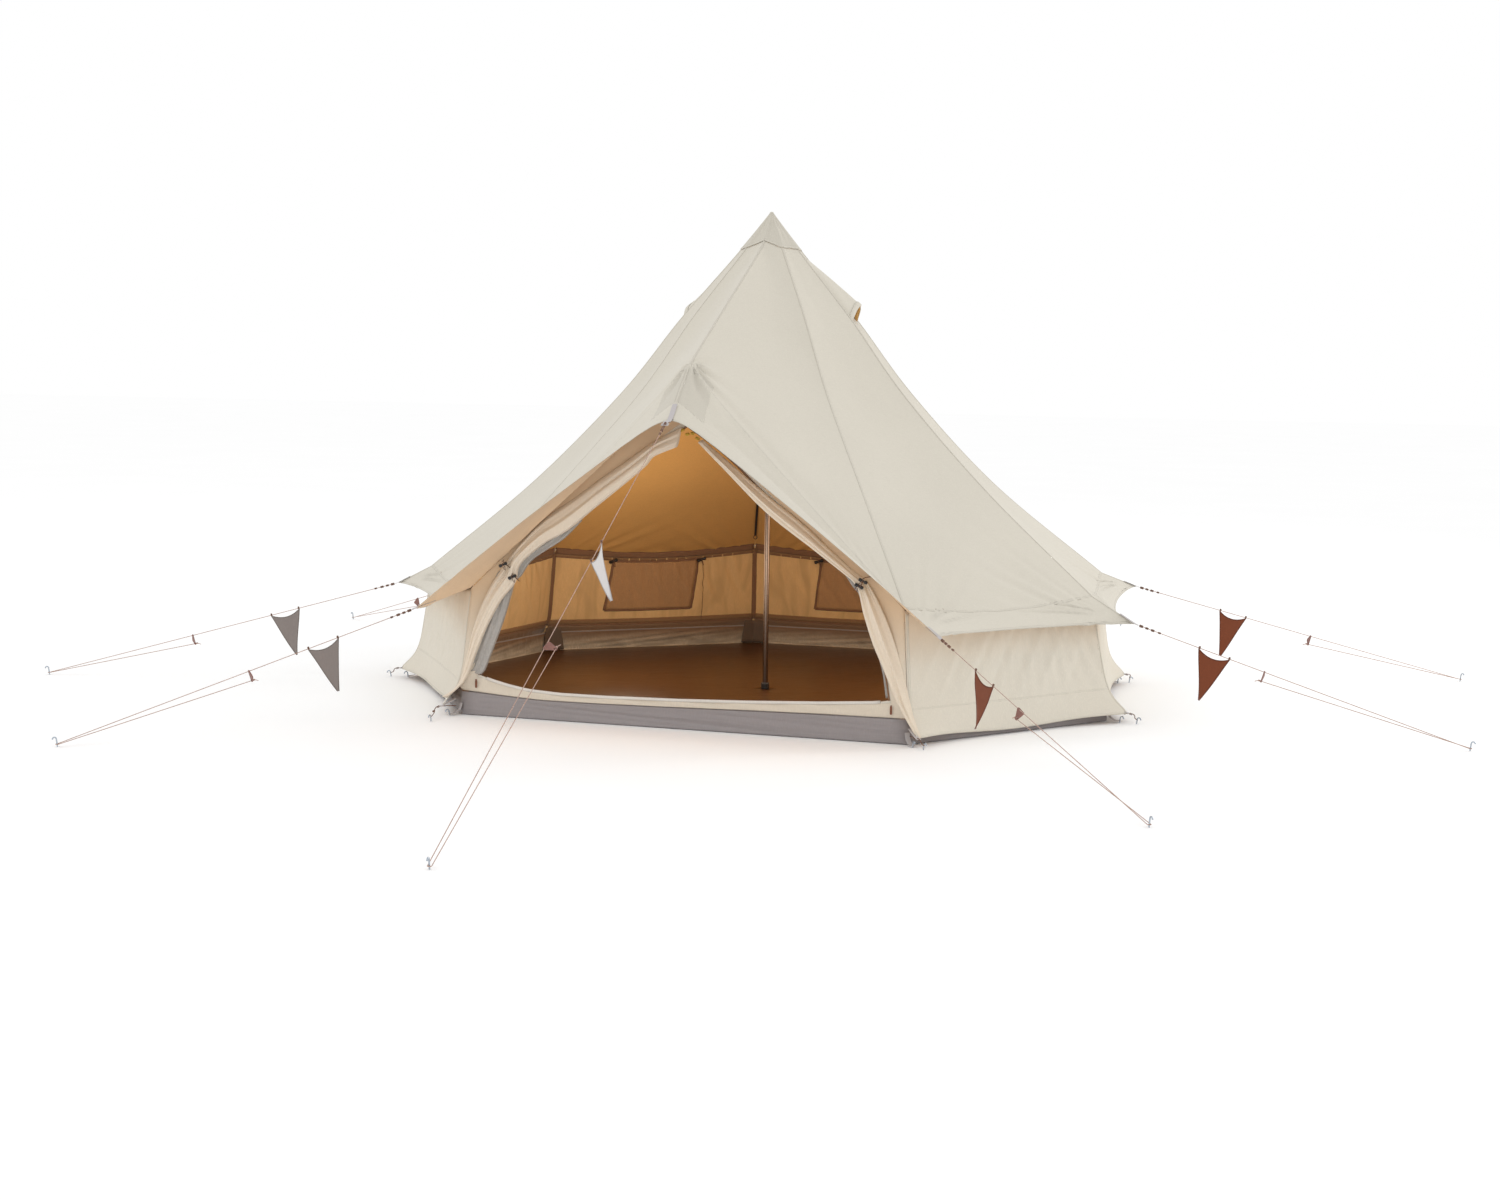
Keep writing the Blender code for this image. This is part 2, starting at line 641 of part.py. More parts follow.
def ring(name, at, along):
    """A cutter-collection torus round a line, to be joined to a pennant."""
    mesh = bpy.data.meshes.new(name)
    shape = bmesh.new()
    around, across = 12, 6
    major, minor = PENNANT_LOOP
    grid = []
    for first in range(around):
        turn = 2 * math.pi * first / around
        spoke = Vector((math.cos(turn), math.sin(turn), 0.0))
        row = []
        for second in range(across):
            tilt = 2 * math.pi * second / across
            point = spoke * (major + minor * math.cos(tilt))
            point.z = minor * math.sin(tilt)
            row.append(shape.verts.new(point))
        grid.append(row)
    for first in range(around):
        for second in range(across):
            a, b = grid[first], grid[(first + 1) % around]
            after = (second + 1) % across
            shape.faces.new((a[second], b[second], b[after], a[after]))
    bmesh.ops.recalc_face_normals(shape, faces=shape.faces)
    shape.to_mesh(mesh)
    shape.free()
    piece = place(name, mesh, None, helpers)
    piece.matrix_world = Matrix.Translation(at) @ along.to_track_quat("Z", "Y").to_matrix().to_4x4()
    piece.hide_render = True
    piece.display_type = "WIRE"
    return piece


def build_zip_pulls():
    """Leather tabs that hang from the door zip's sliders at the ends of the sill."""
    for name, side in (("zip_pull_right", 1.0), ("zip_pull_left", -1.0)):
        half = PULL_WIDTH / 2
        right = [(half * 0.5, 0.0), (half, -PULL_SHOULDER), (half, PULL_ROUND - PULL_LENGTH)]
        right.append((half - PULL_ROUND, -PULL_LENGTH))
        left = [(-x, z) for x, z in reversed(right)]
        piece = outline(name, [right + left], PULL_THICKNESS, leather)
        at = front_point(side * PULL_AT[0], PULL_AT[1], PULL_FORWARD)
        piece.matrix_world = axes_matrix(Vector((1, 0, 0)), Vector((0, 0, 1)), Vector((0, -1, 0)), at)


for old in list(bpy.data.objects):
    bpy.data.objects.remove(old)
tent = bpy.data.collections.new("Bell tent")
helpers = bpy.data.collections.new("Cutters")
bpy.context.scene.collection.children.link(tent)
bpy.context.scene.collection.children.link(helpers)

canvas = material("canvas", (0.66, 0.60, 0.52, 1.0), 0.9)
groundsheet_look = material("groundsheet", (0.24, 0.21, 0.21, 1.0), 0.6)
steel = material("steel", (0.55, 0.55, 0.56, 1.0), 0.35, 1.0)
black = material("black_plastic", (0.03, 0.03, 0.03, 1.0), 0.5)
runner_look = material("runner", (0.38, 0.22, 0.18, 1.0), 0.5)
cord_look = material("cord", (0.40, 0.24, 0.19, 1.0), 0.8)
leather = material("leather", (0.28, 0.11, 0.05, 1.0), 0.6)

build_groundsheet()
build_walls()
build_roof()
build_front_wall()
build_door_flaps()
build_poles()
build_cap()
build_hoods()
build_zip_pulls()
for line in GUYS:
    tube("guy_line_" + line.name, guy_route(line), CORD_RADIUS, cord_look)
    build_runner(line)
    build_peg(line)
    if line.pennant_at is not None:
        build_pennant(line, material("pennant_" + line.name, line.colour, 0.85))
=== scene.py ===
import math

import bmesh
import bpy
import numpy as np
from mathutils import Matrix, Vector


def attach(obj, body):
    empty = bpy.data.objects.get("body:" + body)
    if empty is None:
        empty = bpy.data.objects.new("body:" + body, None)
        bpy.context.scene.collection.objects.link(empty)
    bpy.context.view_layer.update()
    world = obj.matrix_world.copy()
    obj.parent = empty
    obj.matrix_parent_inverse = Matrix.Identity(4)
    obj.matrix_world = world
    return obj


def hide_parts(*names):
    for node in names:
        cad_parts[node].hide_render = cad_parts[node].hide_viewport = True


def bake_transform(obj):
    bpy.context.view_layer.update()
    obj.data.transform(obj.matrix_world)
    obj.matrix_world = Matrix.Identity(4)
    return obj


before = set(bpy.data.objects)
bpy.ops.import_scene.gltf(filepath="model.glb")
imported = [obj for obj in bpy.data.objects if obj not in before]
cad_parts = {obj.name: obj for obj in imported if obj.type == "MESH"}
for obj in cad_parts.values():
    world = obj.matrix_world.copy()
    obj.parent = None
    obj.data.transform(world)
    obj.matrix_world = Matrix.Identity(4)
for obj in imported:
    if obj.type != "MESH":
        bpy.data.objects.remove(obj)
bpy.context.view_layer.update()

# Metres, +Z up, the door faces -Y. Plan angles are in degrees: 0 is the door side and 90 is +X.
ROOT = "tent"
SECTOR = 40.0

# Corners in plan order round the tent: plan angle, then radius and height of seam and eave
RIDGE_PROFILE = ((0.05, 2.52), (0.21, 2.33), (0.49, 2.01), (0.81, 1.61), (1.295, 1.12))
DOOR_PROFILE = ((0.05, 2.49), (0.20, 2.375), (0.72, 2.085), (1.256, 1.787))
PORCH_BREAK = (1.42, 1.64)
PORCH_TIP = (1.543, 1.506)
DOOR_ANGLE = 39.4
CORNER_NAMES = ("door_right", "right_front", "right_rear", "rear_right", "rear_left", "left_rear",
                "left_front", "door_left")
CORNER_ANGLES = (DOOR_ANGLE, *(SECTOR * step for step in range(2, 8)), 9 * SECTOR - DOOR_ANGLE)
CORNERS = [dict(zip(("base", "seam", "seam_height", "eave", "eave_height"), sizes)) for sizes in (
    (1.84, 1.77, 0.64, 2.14, 0.55),
    (1.98, 1.865, 0.63, 2.09, 0.505),
    (2.0, 1.93, 0.63, 2.14, 0.55),
    (2.0, 1.93, 0.63, 2.09, 0.53),
    (2.0, 1.93, 0.63, 2.09, 0.53),
    (2.0, 1.93, 0.63, 2.09, 0.53),
    (1.975, 1.885, 0.63, 2.075, 0.53),
    (1.84, 1.77, 0.64, 2.07, 0.55),
)]
SEAM_ROW = 8
HEM_ROW = 9
PORCH_OVERHANG_ROWS = 0.85
PANEL_SAG = 0.030
SEAM_SAG = 0.042
HEM_MIDDLE = 0.10
CLOTH = 0.0009
THIN_CLOTH = 0.0006
TAPE_BED = 0.0004
SEAM_HALF = 0.0085
UP = np.array([0.0, 0.0, 1.0])

# Front wall and doorway: half outline in x and z
DOOR_LEAN = 0.08
DOOR_FOOT_Y = -1.4098
OPENING = ((0.0, 1.47), (0.20, 1.335), (0.40, 1.16), (0.60, 0.995), (0.80, 0.835), (0.91, 0.735),
           (0.965, 0.60), (1.02, 0.40), (1.06, 0.205))
SILL_BOTTOM = 0.124
SILL_STEPS = 26
SIDES = (("right", 1.0), ("left", -1.0))


def polar(angle, radius, height):
    turn = math.radians(angle)
    return Vector((radius * math.sin(turn), -radius * math.cos(turn), height))


def smooth(points, count):
    """count points spread evenly along a Catmull-Rom curve through points, as an array."""
    knots = [np.array(p, float) for p in points]
    knots = [2 * knots[0] - knots[1], *knots, 2 * knots[-1] - knots[-2]]
    fine = []
    for a, b, c, d in zip(knots, knots[1:], knots[2:], knots[3:]):
        for t in np.arange(24) / 24:
            fine.append(b + 0.5 * t * (c - a) + t * t * (a - 2.5 * b + 2 * c - 0.5 * d)
                        + 0.5 * t ** 3 * (3 * b - a - 3 * c + d))
    fine = np.array([*fine, knots[-2]])
    return even(fine, count)


def even(points, count):
    """count points spread evenly along a polyline."""
    points = np.asarray(points, float)
    steps = np.linalg.norm(np.diff(points, axis=0), axis=1)
    travelled = np.concatenate([[0.0], np.cumsum(steps)])
    targets = np.linspace(0.0, travelled[-1], count)
    return np.stack([np.interp(targets, travelled, points[:, i]) for i in range(points.shape[1])], axis=1)


def unit(vectors):
    return vectors / np.maximum(np.linalg.norm(vectors, axis=-1, keepdims=True), 1e-9)


def between(first, second, shares):
    """Rows of points that go over from one row to another, by these shares."""
    shares = np.asarray(shares)[:, None, None]
    return first * (1 - shares) + second * shares


def circle(centre, first, second, count, closed=False):
    """count points round an ellipse with these half axes. A closed one doesn't repeat its start."""
    turns = np.linspace(0.0, 2 * math.pi, count, endpoint=not closed)
    centre, first, second = Vector(centre), Vector(first), Vector(second)
    return [centre + first * math.cos(turn) + second * math.sin(turn) for turn in turns]


# ---------------------------------------------------------------- materials


class Nodes:
    """Short ways to wire up one material's nodes."""

    def __init__(self, name, colour, roughness, metallic=0.0, sheen=0.0, specular=0.5):
        self.material = bpy.data.materials.new(name)
        self.material.use_nodes = True
        self.tree = self.material.node_tree
        self.shader = self.tree.nodes["Principled BSDF"]
        self.colour = (*colour, 1.0)
        self.shader.inputs["Base Color"].default_value = self.colour
        self.shader.inputs["Roughness"].default_value = roughness
        self.shader.inputs["Metallic"].default_value = metallic
        self.shader.inputs["Sheen Weight"].default_value = sheen
        self.shader.inputs["Specular IOR Level"].default_value = specular
        self.place = self.add("ShaderNodeTexCoord").outputs["Object"]
        self.paint = None
        self.bump = None

    def add(self, kind, **settings):
        node = self.tree.nodes.new(kind)
        for key, value in settings.items():
            setattr(node, key, value)
        return node

    def link(self, source, target):
        self.tree.links.new(source, target)

    def math(self, operation, first, second=None):
        node = self.add("ShaderNodeMath", operation=operation)
        for socket, value in zip(node.inputs, (first, second)):
            if value is None:
                continue
            if isinstance(value, (int, float)):
                socket.default_value = value
            else:
                self.link(value, socket)
        return node.outputs[0]

    def height(self):
        spot = self.add("ShaderNodeSeparateXYZ")
        self.link(self.place, spot.inputs["Vector"])
        return spot.outputs["Z"]

    def noise(self, scale, detail=2.0, stretch=(1.0, 1.0, 1.0), distortion=0.0):
        moved = self.add("ShaderNodeMapping")
        moved.inputs["Scale"].default_value = stretch
        self.link(self.place, moved.inputs["Vector"])
        node = self.add("ShaderNodeTexNoise")
        node.inputs["Scale"].default_value = scale
        node.inputs["Detail"].default_value = detail
        node.inputs["Distortion"].default_value = distortion
        self.link(moved.outputs["Vector"], node.inputs["Vector"])
        return node.outputs["Fac"]

    def threads(self, pitch, direction):
        node = self.add("ShaderNodeTexWave", wave_type="BANDS", bands_direction=direction)
        node.inputs["Scale"].default_value = math.pi / (20 * pitch)
        node.inputs["Distortion"].default_value = 0.4
        node.inputs["Detail"].default_value = 0.0
        self.link(self.place, node.inputs["Vector"])
        return node.outputs["Fac"]

    def tint(self, factor, colour, low=0.35, high=0.65):
        """Mixes the colour so far towards another where factor is high."""
        ramp = self.add("ShaderNodeMapRange")
        ramp.inputs["From Min"].default_value = low
        ramp.inputs["From Max"].default_value = high
        self.link(factor, ramp.inputs["Value"])
        mix = self.add("ShaderNodeMix", data_type="RGBA")
        mix.inputs[7].default_value = (*colour, 1.0)
        mix.inputs[6].default_value = self.colour
        if self.paint is not None:
            self.link(self.paint, mix.inputs[6])
        self.link(ramp.outputs["Result"], mix.inputs[0])
        self.paint = mix.outputs[2]
        self.link(self.paint, self.shader.inputs["Base Color"])

    def raise_by(self, height, distance, strength=1.0):
        node = self.add("ShaderNodeBump")
        node.inputs["Distance"].default_value = distance
        node.inputs["Strength"].default_value = strength
        self.link(height, node.inputs["Height"])
        if self.bump is not None:
            self.link(self.bump, node.inputs["Normal"])
        self.bump = node.outputs["Normal"]
        self.link(self.bump, self.shader.inputs["Normal"])


def scaled(colour, factor):
    return tuple(min(1.0, value * factor) for value in colour)


def cloth_look(name, colour, roughness=0.9, vary=0.05, crease=0.0025, sheen=0.12, stitched=False,
               pitch=0.0011, height_tint=None, specular=0.25, streaks=0.0, folds=None):
    """Woven cloth: threads both ways, slubs, cloudy colour, soft creases, and rows of stitches if wanted."""
    made = Nodes(name, colour, roughness, sheen=sheen, specular=specular)
    made.tint(made.noise(1.6, 3.0), scaled(colour, 1.0 - vary), 0.30, 0.70)
    made.tint(made.noise(260.0, 1.0, (1.0, 1.0, 0.12)), scaled(colour, 1.0 + vary), 0.45, 0.80)
    made.tint(made.noise(240.0, 1.0, (0.12, 0.12, 1.0)), scaled(colour, 1.0 - vary), 0.55, 0.85)
    # Painted shade: darker streaks in the colour stand for the shade along folds.
    if folds:
        made.tint(made.noise(folds[0], 2.0, folds[1], 0.8), scaled(colour, folds[2]), 0.46, 0.66)
    # A tint that grows with height: painted light through the canvas on the walls and the front, and only a
    # darker top on the tub's upstand.
    if height_tint:
        made.tint(made.height(), *height_tint)
    if crease:
        made.raise_by(made.noise(5.5, 3.0, distortion=0.6), crease * 2.2, 0.55)
        made.raise_by(made.noise(23.0, 2.0), crease * 0.5, 0.5)
    if streaks:
        made.raise_by(made.noise(34.0, 2.0, (0.09, 0.09, 1.0), 0.4), streaks, 0.8)
    level = made.math("MAXIMUM", made.threads(pitch, "X"), made.threads(pitch, "Y"))
    weave = made.math("ADD", made.math("MULTIPLY", level, 0.5),
                      made.math("MULTIPLY", made.threads(pitch, "Z"), 0.5))
    made.raise_by(weave, 0.0002, 0.35)
    if stitched:
        add_stitches(made, colour)
    return made.material


def add_stitches(made, colour):
    """Rows of thread along a strip whose UV map is in metres: x along it, y from its middle."""
    spot = made.add("ShaderNodeSeparateXYZ")
    made.link(made.add("ShaderNodeTexCoord").outputs["UV"], spot.inputs["Vector"])
    stitches = made.math("MULTIPLY", spot.outputs["X"], 1 / 0.0045)
    dash = made.math("LESS_THAN", made.math("FRACT", stitches), 0.68)
    from_row = made.math("ABSOLUTE", made.math("SUBTRACT", made.math("ABSOLUTE", spot.outputs["Y"]), 0.0055))
    row = made.math("LESS_THAN", from_row, 0.0006)
    thread = made.math("MULTIPLY", dash, row)
    made.tint(thread, scaled(colour, 0.72), 0.4, 0.6)
    made.raise_by(thread, 0.0004, 0.8)


def plastic_look(name, colour, roughness=0.45):
    made = Nodes(name, colour, roughness)
    made.tint(made.noise(60.0, 3.0), scaled(colour, 1.35), 0.45, 0.75)
    made.raise_by(made.noise(900.0, 2.0), 0.0001, 0.5)
    return made.material


def metal_look(name, colour, roughness):
    made = Nodes(name, colour, roughness, metallic=1.0)
    made.tint(made.noise(14.0, 4.0, (1.0, 1.0, 0.3)), scaled(colour, 0.72), 0.40, 0.75)
    made.tint(made.noise(150.0, 3.0), scaled(colour, 1.12), 0.55, 0.80)
    made.raise_by(made.noise(700.0, 2.0, (1.0, 1.0, 0.06)), 0.00008, 0.6)
    return made.material


def leather_look(name, colour):
    made = Nodes(name, colour, 0.55, specular=0.4)
    made.tint(made.noise(90.0, 4.0), scaled(colour, 0.6), 0.40, 0.70)
    made.raise_by(made.noise(1400.0, 3.0), 0.0003, 0.6)
    return made.material


def cord_look(name, colour, fleck):
    """Braided cord: a fleck of a second yarn and a fine diagonal bump."""
    made = Nodes(name, colour, 0.75, sheen=0.1)
    made.tint(made.noise(420.0, 1.0), fleck, 0.52, 0.60)
    made.raise_by(made.noise(1300.0, 1.0), 0.0004, 0.8)
    return made.material


CREAM = (0.630, 0.592, 0.510)
WARM = (0.690, 0.642, 0.548)
# Painted light: the peach under the eaves and the gold inside the roof and walls stand for daylight coming
# through the canvas, not the cloth's own colour.
EAVE_UNDERSIDE_GLOW = (0.79, 0.585, 0.385)
ROOF_INSIDE_GLOW = (0.70, 0.41, 0.145)
WALL_INSIDE_GLOW = (0.78, 0.545, 0.275)
LOOKS = {
    "canvas": cloth_look("canvas_outer", CREAM),
    "canvas_seam": cloth_look("canvas_seam", scaled(CREAM, 0.95), stitched=True, crease=0.0),
    # Painted light: the roof's inside coloured gold for daylight through the canvas.
    "canvas_inner": cloth_look("canvas_roof_inside_glow", ROOF_INSIDE_GLOW, vary=0.08, sheen=0.0),
    # Painted light: the underside of the eaves coloured peach for daylight through the canvas in its own shade.
    "overhang": cloth_look("canvas_overhang_underside_glow", EAVE_UNDERSIDE_GLOW, crease=0.003),
    # Painted light: the walls turn peach towards the top, for daylight through the canvas in the shade of the
    # eave.
    "wall": cloth_look("canvas_wall", WARM, crease=0.003, height_tint=((0.76, 0.63, 0.48), 0.36, 0.66)),
    "wall_seam": cloth_look("canvas_wall_seam", scaled(WARM, 0.95), stitched=True, crease=0.0),
    # Painted light and shade: gold for daylight through the canvas, with darker streaks painted for the shade
    # of folds.
    "wall_inner": cloth_look("canvas_wall_inside", WALL_INSIDE_GLOW, vary=0.06, sheen=0.0, crease=0.006,
                             folds=(11.0, (1.0, 1.0, 0.22), 0.82)),
    "cap": cloth_look("canvas_cap", scaled(CREAM, 0.90)),
    # Painted light: the front wall is peachier than the side walls, more so towards the top, for light through
    # the canvas under the porch.
    "front": cloth_look("canvas_front_glow", (0.68, 0.60, 0.49), crease=0.004,
                        height_tint=((0.66, 0.49, 0.325), 0.36, 0.66)),
    "leaf": cloth_look("canvas_door_leaf", (0.76, 0.66, 0.535), crease=0.005),
    "sill_edge": cloth_look("sill_edge", (0.70, 0.66, 0.60), crease=0.0),
    "mesh": cloth_look("mesh_leaf", (0.40, 0.375, 0.345), roughness=0.8, vary=0.16, pitch=0.0022,
                       crease=0.005),
    "tape": cloth_look("seam_tape", (0.235, 0.135, 0.080), roughness=0.8, stitched=True, crease=0.0),
    "band": cloth_look("wall_band", (0.30, 0.185, 0.10), vary=0.10, sheen=0.0, crease=0.003),
    "blind": cloth_look("window_blind", (0.46, 0.28, 0.145), vary=0.10, sheen=0.0, crease=0.004),
    "window_mesh": cloth_look("window_mesh", (0.20, 0.19, 0.18), roughness=0.7, vary=0.2, pitch=0.0022),
    "tub": cloth_look("tub_outside", (0.300, 0.270, 0.268), roughness=0.55, crease=0.004, pitch=0.0016,
                      streaks=0.006),
    # Painted shade: darker streaks stand for the shade of folds in the upstand; it also turns darker brown
    # towards its top.
    "tub_inner": cloth_look("tub_inside_fold_shade", (0.50, 0.45, 0.37), roughness=0.5, vary=0.22, crease=0.010,
                            pitch=0.0016, height_tint=((0.20, 0.13, 0.082), 0.025, 0.105),
                            folds=(20.0, (0.25, 0.25, 1.0), 0.68)),
    "gusset": cloth_look("tub_gusset", (0.12, 0.09, 0.07), roughness=0.55, crease=0.004),
    "floor": cloth_look("tub_floor", (0.080, 0.032, 0.009), roughness=0.33, sheen=0.0, specular=0.28,
                        vary=0.12, crease=0.004, pitch=0.0016),
    "yellow_cord": cord_look("yellow_cord", (0.50, 0.32, 0.03), (0.62, 0.45, 0.08)),
    "webbing": cloth_look("webbing", (0.50, 0.47, 0.47), roughness=0.7, pitch=0.0015, crease=0.0),
    "pale": cloth_look("pennant_pale", (0.62, 0.60, 0.59)),
    "brown": cloth_look("pennant_brown", (0.185, 0.050, 0.020)),
    "grey": cloth_look("pennant_grey", (0.25, 0.215, 0.20)),
    "brown_edge": cloth_look("pennant_brown_edge", (0.12, 0.032, 0.016), crease=0.0),
    "grey_edge": cloth_look("pennant_grey_edge", (0.17, 0.145, 0.13), crease=0.0),
    "pale_edge": cloth_look("pennant_pale_edge", (0.36, 0.34, 0.33), crease=0.0),
    "runner": plastic_look("runner_plastic", (0.20, 0.085, 0.065)),
    "black": plastic_look("black_plastic", (0.018, 0.018, 0.02)),
    # Painted reflection: the steel's colour is tinted brown for the warm cloth reflected in it.
    "steel": metal_look("pole_steel", (0.225, 0.165, 0.13), 0.27),
    "zinc": metal_look("peg_zinc", (0.45, 0.50, 0.56), 0.38),
    "leather": leather_look("pull_leather", (0.20, 0.065, 0.03)),
    "cord": cord_look("guy_cord", (0.36, 0.21, 0.16), (0.60, 0.45, 0.38)),
    "thin_cord": cord_look("tie_cord", (0.12, 0.055, 0.035), (0.25, 0.14, 0.09)),
}


# ---------------------------------------------------------------- pieces


def finish_piece(piece, look, body=ROOT, replaced=()):
    """Gives a new object its materials, the body that it rides on and the nodes it replaces."""
    for name in [look] if isinstance(look, str) else look:
        piece.data.materials.append(LOOKS[name])
    if body is not None:
        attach(piece, body)
    if replaced:
        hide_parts(*replaced)
    return piece


def add_object(name, data):
    piece = bpy.data.objects.new(name, data)
    bpy.context.scene.collection.objects.link(piece)
    return piece


def grid_mesh(name, points, closed=False, picks=None, flip=False):
    """A quad mesh from rows of points, with a UV map in metres: x along the rows, y across them."""
    points = np.asarray(points, float)
    rows, columns = points.shape[:2]
    ids = np.arange(rows * columns).reshape(rows, columns)
    here = ids if closed else ids[:, :-1]
    after = np.roll(ids, -1, axis=1) if closed else ids[:, 1:]
    faces = np.stack([here[:-1], here[1:], after[1:], after[:-1]], axis=-1).reshape(-1, 4)
    if flip:
        faces = faces[:, ::-1]
    mesh = bpy.data.meshes.new(name)
    mesh.from_pydata(points.reshape(-1, 3).tolist(), [], faces.tolist())
    along = np.zeros((rows, columns))
    along[:, 1:] = np.cumsum(np.linalg.norm(np.diff(points, axis=1), axis=2), axis=1)
    across = np.zeros((rows, columns))
    across[1:] = np.cumsum(np.linalg.norm(np.diff(points, axis=0), axis=2), axis=0)
    across -= across[-1] / 2
    spots = np.stack([along, across], axis=-1).reshape(-1, 2)[faces.reshape(-1)]
    layer = mesh.uv_layers.new(name="UVMap")
    layer.data.foreach_set("uv", spots.astype(np.float32).ravel())
    if picks is not None:
        mesh.polygons.foreach_set("material_index", np.asarray(picks, np.int32).ravel())
    mesh.shade_smooth()
    mesh.update()
    return mesh


def thicken(piece, thickness=CLOTH, inner=0):
    shell = piece.modifiers.new("Cloth", "SOLIDIFY")
    shell.thickness = thickness
    shell.offset = -1.0
    shell.use_even_offset = False
    shell.material_offset = inner
    return piece


def cloth(name, points, look, inner=0, body=ROOT, replaced=(),
          closed=False, picks=None, flip=False, thickness=CLOTH):
    """A sheet of cloth from a grid of points, whose area is theirs unless it is gathered."""
    piece = add_object(name, grid_mesh(name, points, closed, picks, flip))
    finish_piece(piece, look, body, replaced)
    thicken(piece, thickness, inner)
    return piece


def patch(name, points, look, thickness, flip=False):
    """A small piece of cloth from a grid of points."""
    piece = add_object(name, grid_mesh(name, points, flip=flip))
    return thicken(finish_piece(piece, look), thickness)


def strip(name, points, look, lift=0.0011, normals=None):
    """A narrow tape laid on a surface, from rows of points across it: its middle stands a little proud."""
    points = np.asarray(points, float)
    normals = grid_normals(points) if normals is None else normals
    crown = np.sin(np.linspace(0.0, math.pi, len(points))).clip(0) ** 0.5
    raised = points + normals * (lift * crown - TAPE_BED)[:, None, None]
    return patch(name, raised, look, CLOTH)


def tape_rows(half):
    """Five rows across a tape, as offsets from its middle."""
    return np.linspace(-half, half, 5)[:, None]


def laid_strip(name, surface, around, level, look, inside=False, lift=None):
    """A tape on the roof or the wall. Its rows run across it: around and level broadcast to one shape."""
    point_at, normal_at, usual_lift = surface
    around, level = np.broadcast_arrays(np.asarray(around, float), np.asarray(level, float))
    points, normals = point_at(around, level), normal_at(around, level)
    if inside:
        points = points - normals * (CLOTH + TAPE_BED)
        normals = -normals
    return strip(name, points, look, lift=lift or usual_lift, normals=normals)


def grid_normals(points):
    return unit(np.cross(np.gradient(points, axis=0), np.gradient(points, axis=1)))


def surface_normals(point_at, around, level, sides, step, span):
    """Outward normals of the roof's or the wall's cloth, whose level stays within span."""
    side = np.clip(np.floor(np.asarray(around, float)), 0, sides - 1)
    inner = np.clip(around, side + step, side + 1 - step)
    along = point_at(inner + step / 2, level) - point_at(inner - step / 2, level)
    down = point_at(inner, np.clip(level + step, *span)) - point_at(inner, np.clip(level - step, *span))
    return unit(np.cross(down, along))


def curve_tube(name, points, radius, look, body=ROOT, replaced=(), resolution=3):
    """A round cord or rod along points, as a curve with filled caps."""
    data = bpy.data.curves.new(name, "CURVE")
    data.dimensions = "3D"
    data.bevel_depth = radius
    data.bevel_resolution = resolution
    data.use_fill_caps = True
    line = data.splines.new("POLY")
    line.points.add(len(points) - 1)
    for spot, point in zip(line.points, points):
        spot.co = (*point, 1.0)
    line.use_smooth = True
    return finish_piece(add_object(name, data), look, body, replaced)


def directions(points):
    """Each point with the direction of the run there."""
    for behind, point, ahead in zip([points[0], *points], points, [*points[1:], points[-1]]):
        yield point, (ahead - behind).normalized()


def ring_mesh(name, rings, sharp):
    """A closed mesh through rings of points, with flat ends. Edges over sharp degrees stay crisp."""
    mesh = bpy.data.meshes.new(name)
    shape = bmesh.new()
    loops = [[shape.verts.new(point) for point in ring] for ring in rings]
    for first, second in zip(loops, loops[1:]):
        for here in range(len(first)):
            after = (here + 1) % len(first)
            shape.faces.new((first[here], first[after], second[after], second[here]))
    shape.faces.new(reversed(loops[0]))
    shape.faces.new(loops[-1])
    bmesh.ops.recalc_face_normals(shape, faces=shape.faces)
    shape.to_mesh(mesh)
    shape.free()
    mesh.shade_smooth()
    mesh.set_sharp_from_angle(angle=math.radians(sharp))
    return mesh


def swept(name, points, profile, look, body=ROOT, upright=UP):
    """A closed profile of (side, up) pairs swept along points, with flat ends."""
    rings = []
    for point, ahead in directions([Vector(p) for p in points]):
        side = ahead.cross(Vector(upright)).normalized()
        up = side.cross(ahead)
        rings.append([point + side * a + up * b for a, b in profile])
    return finish_piece(add_object(name, ring_mesh(name, rings, 40)), look, body)


def flat_profile(width, thickness):
    """A rounded rectangle for webbing: width sideways, thickness up."""
    w, t, c = width / 2, thickness / 2, thickness * 0.3
    half = ((-w + c, -t), (w - c, -t), (w, -t + c), (w, t - c))
    return (*half, *((-a, -b) for a, b in half))


def lathe(name, profile, look, at=(0, 0, 0), towards=(0, 0, 1), body=ROOT, steps=28):
    """A turned piece from (radius, height) pairs, bottom to top, about a line through at."""
    turned = Vector(towards).to_track_quat("Z", "Y").to_matrix().to_4x4()
    place = Matrix.Translation(Vector(at)) @ turned
    rings = []
    for radius, height in profile:
        ring = circle((0, 0, height), (radius, 0, 0), (0, radius, 0), steps, closed=True)
        rings.append([place @ spot for spot in ring])
    return finish_piece(add_object(name, ring_mesh(name, rings, 35)), look, body)


# ---------------------------------------------------------------- canopy


TABLE_STEPS = 16
RIPPLE = 0.0100
RIPPLE_REACH = 0.52
FLUTTER = 0.0016
SEWN_RISE = 0.010
SEWN_DIP = 0.007
PUCKER = 0.0120
FRONT_SHARE_OF_RIPPLES = 0.35


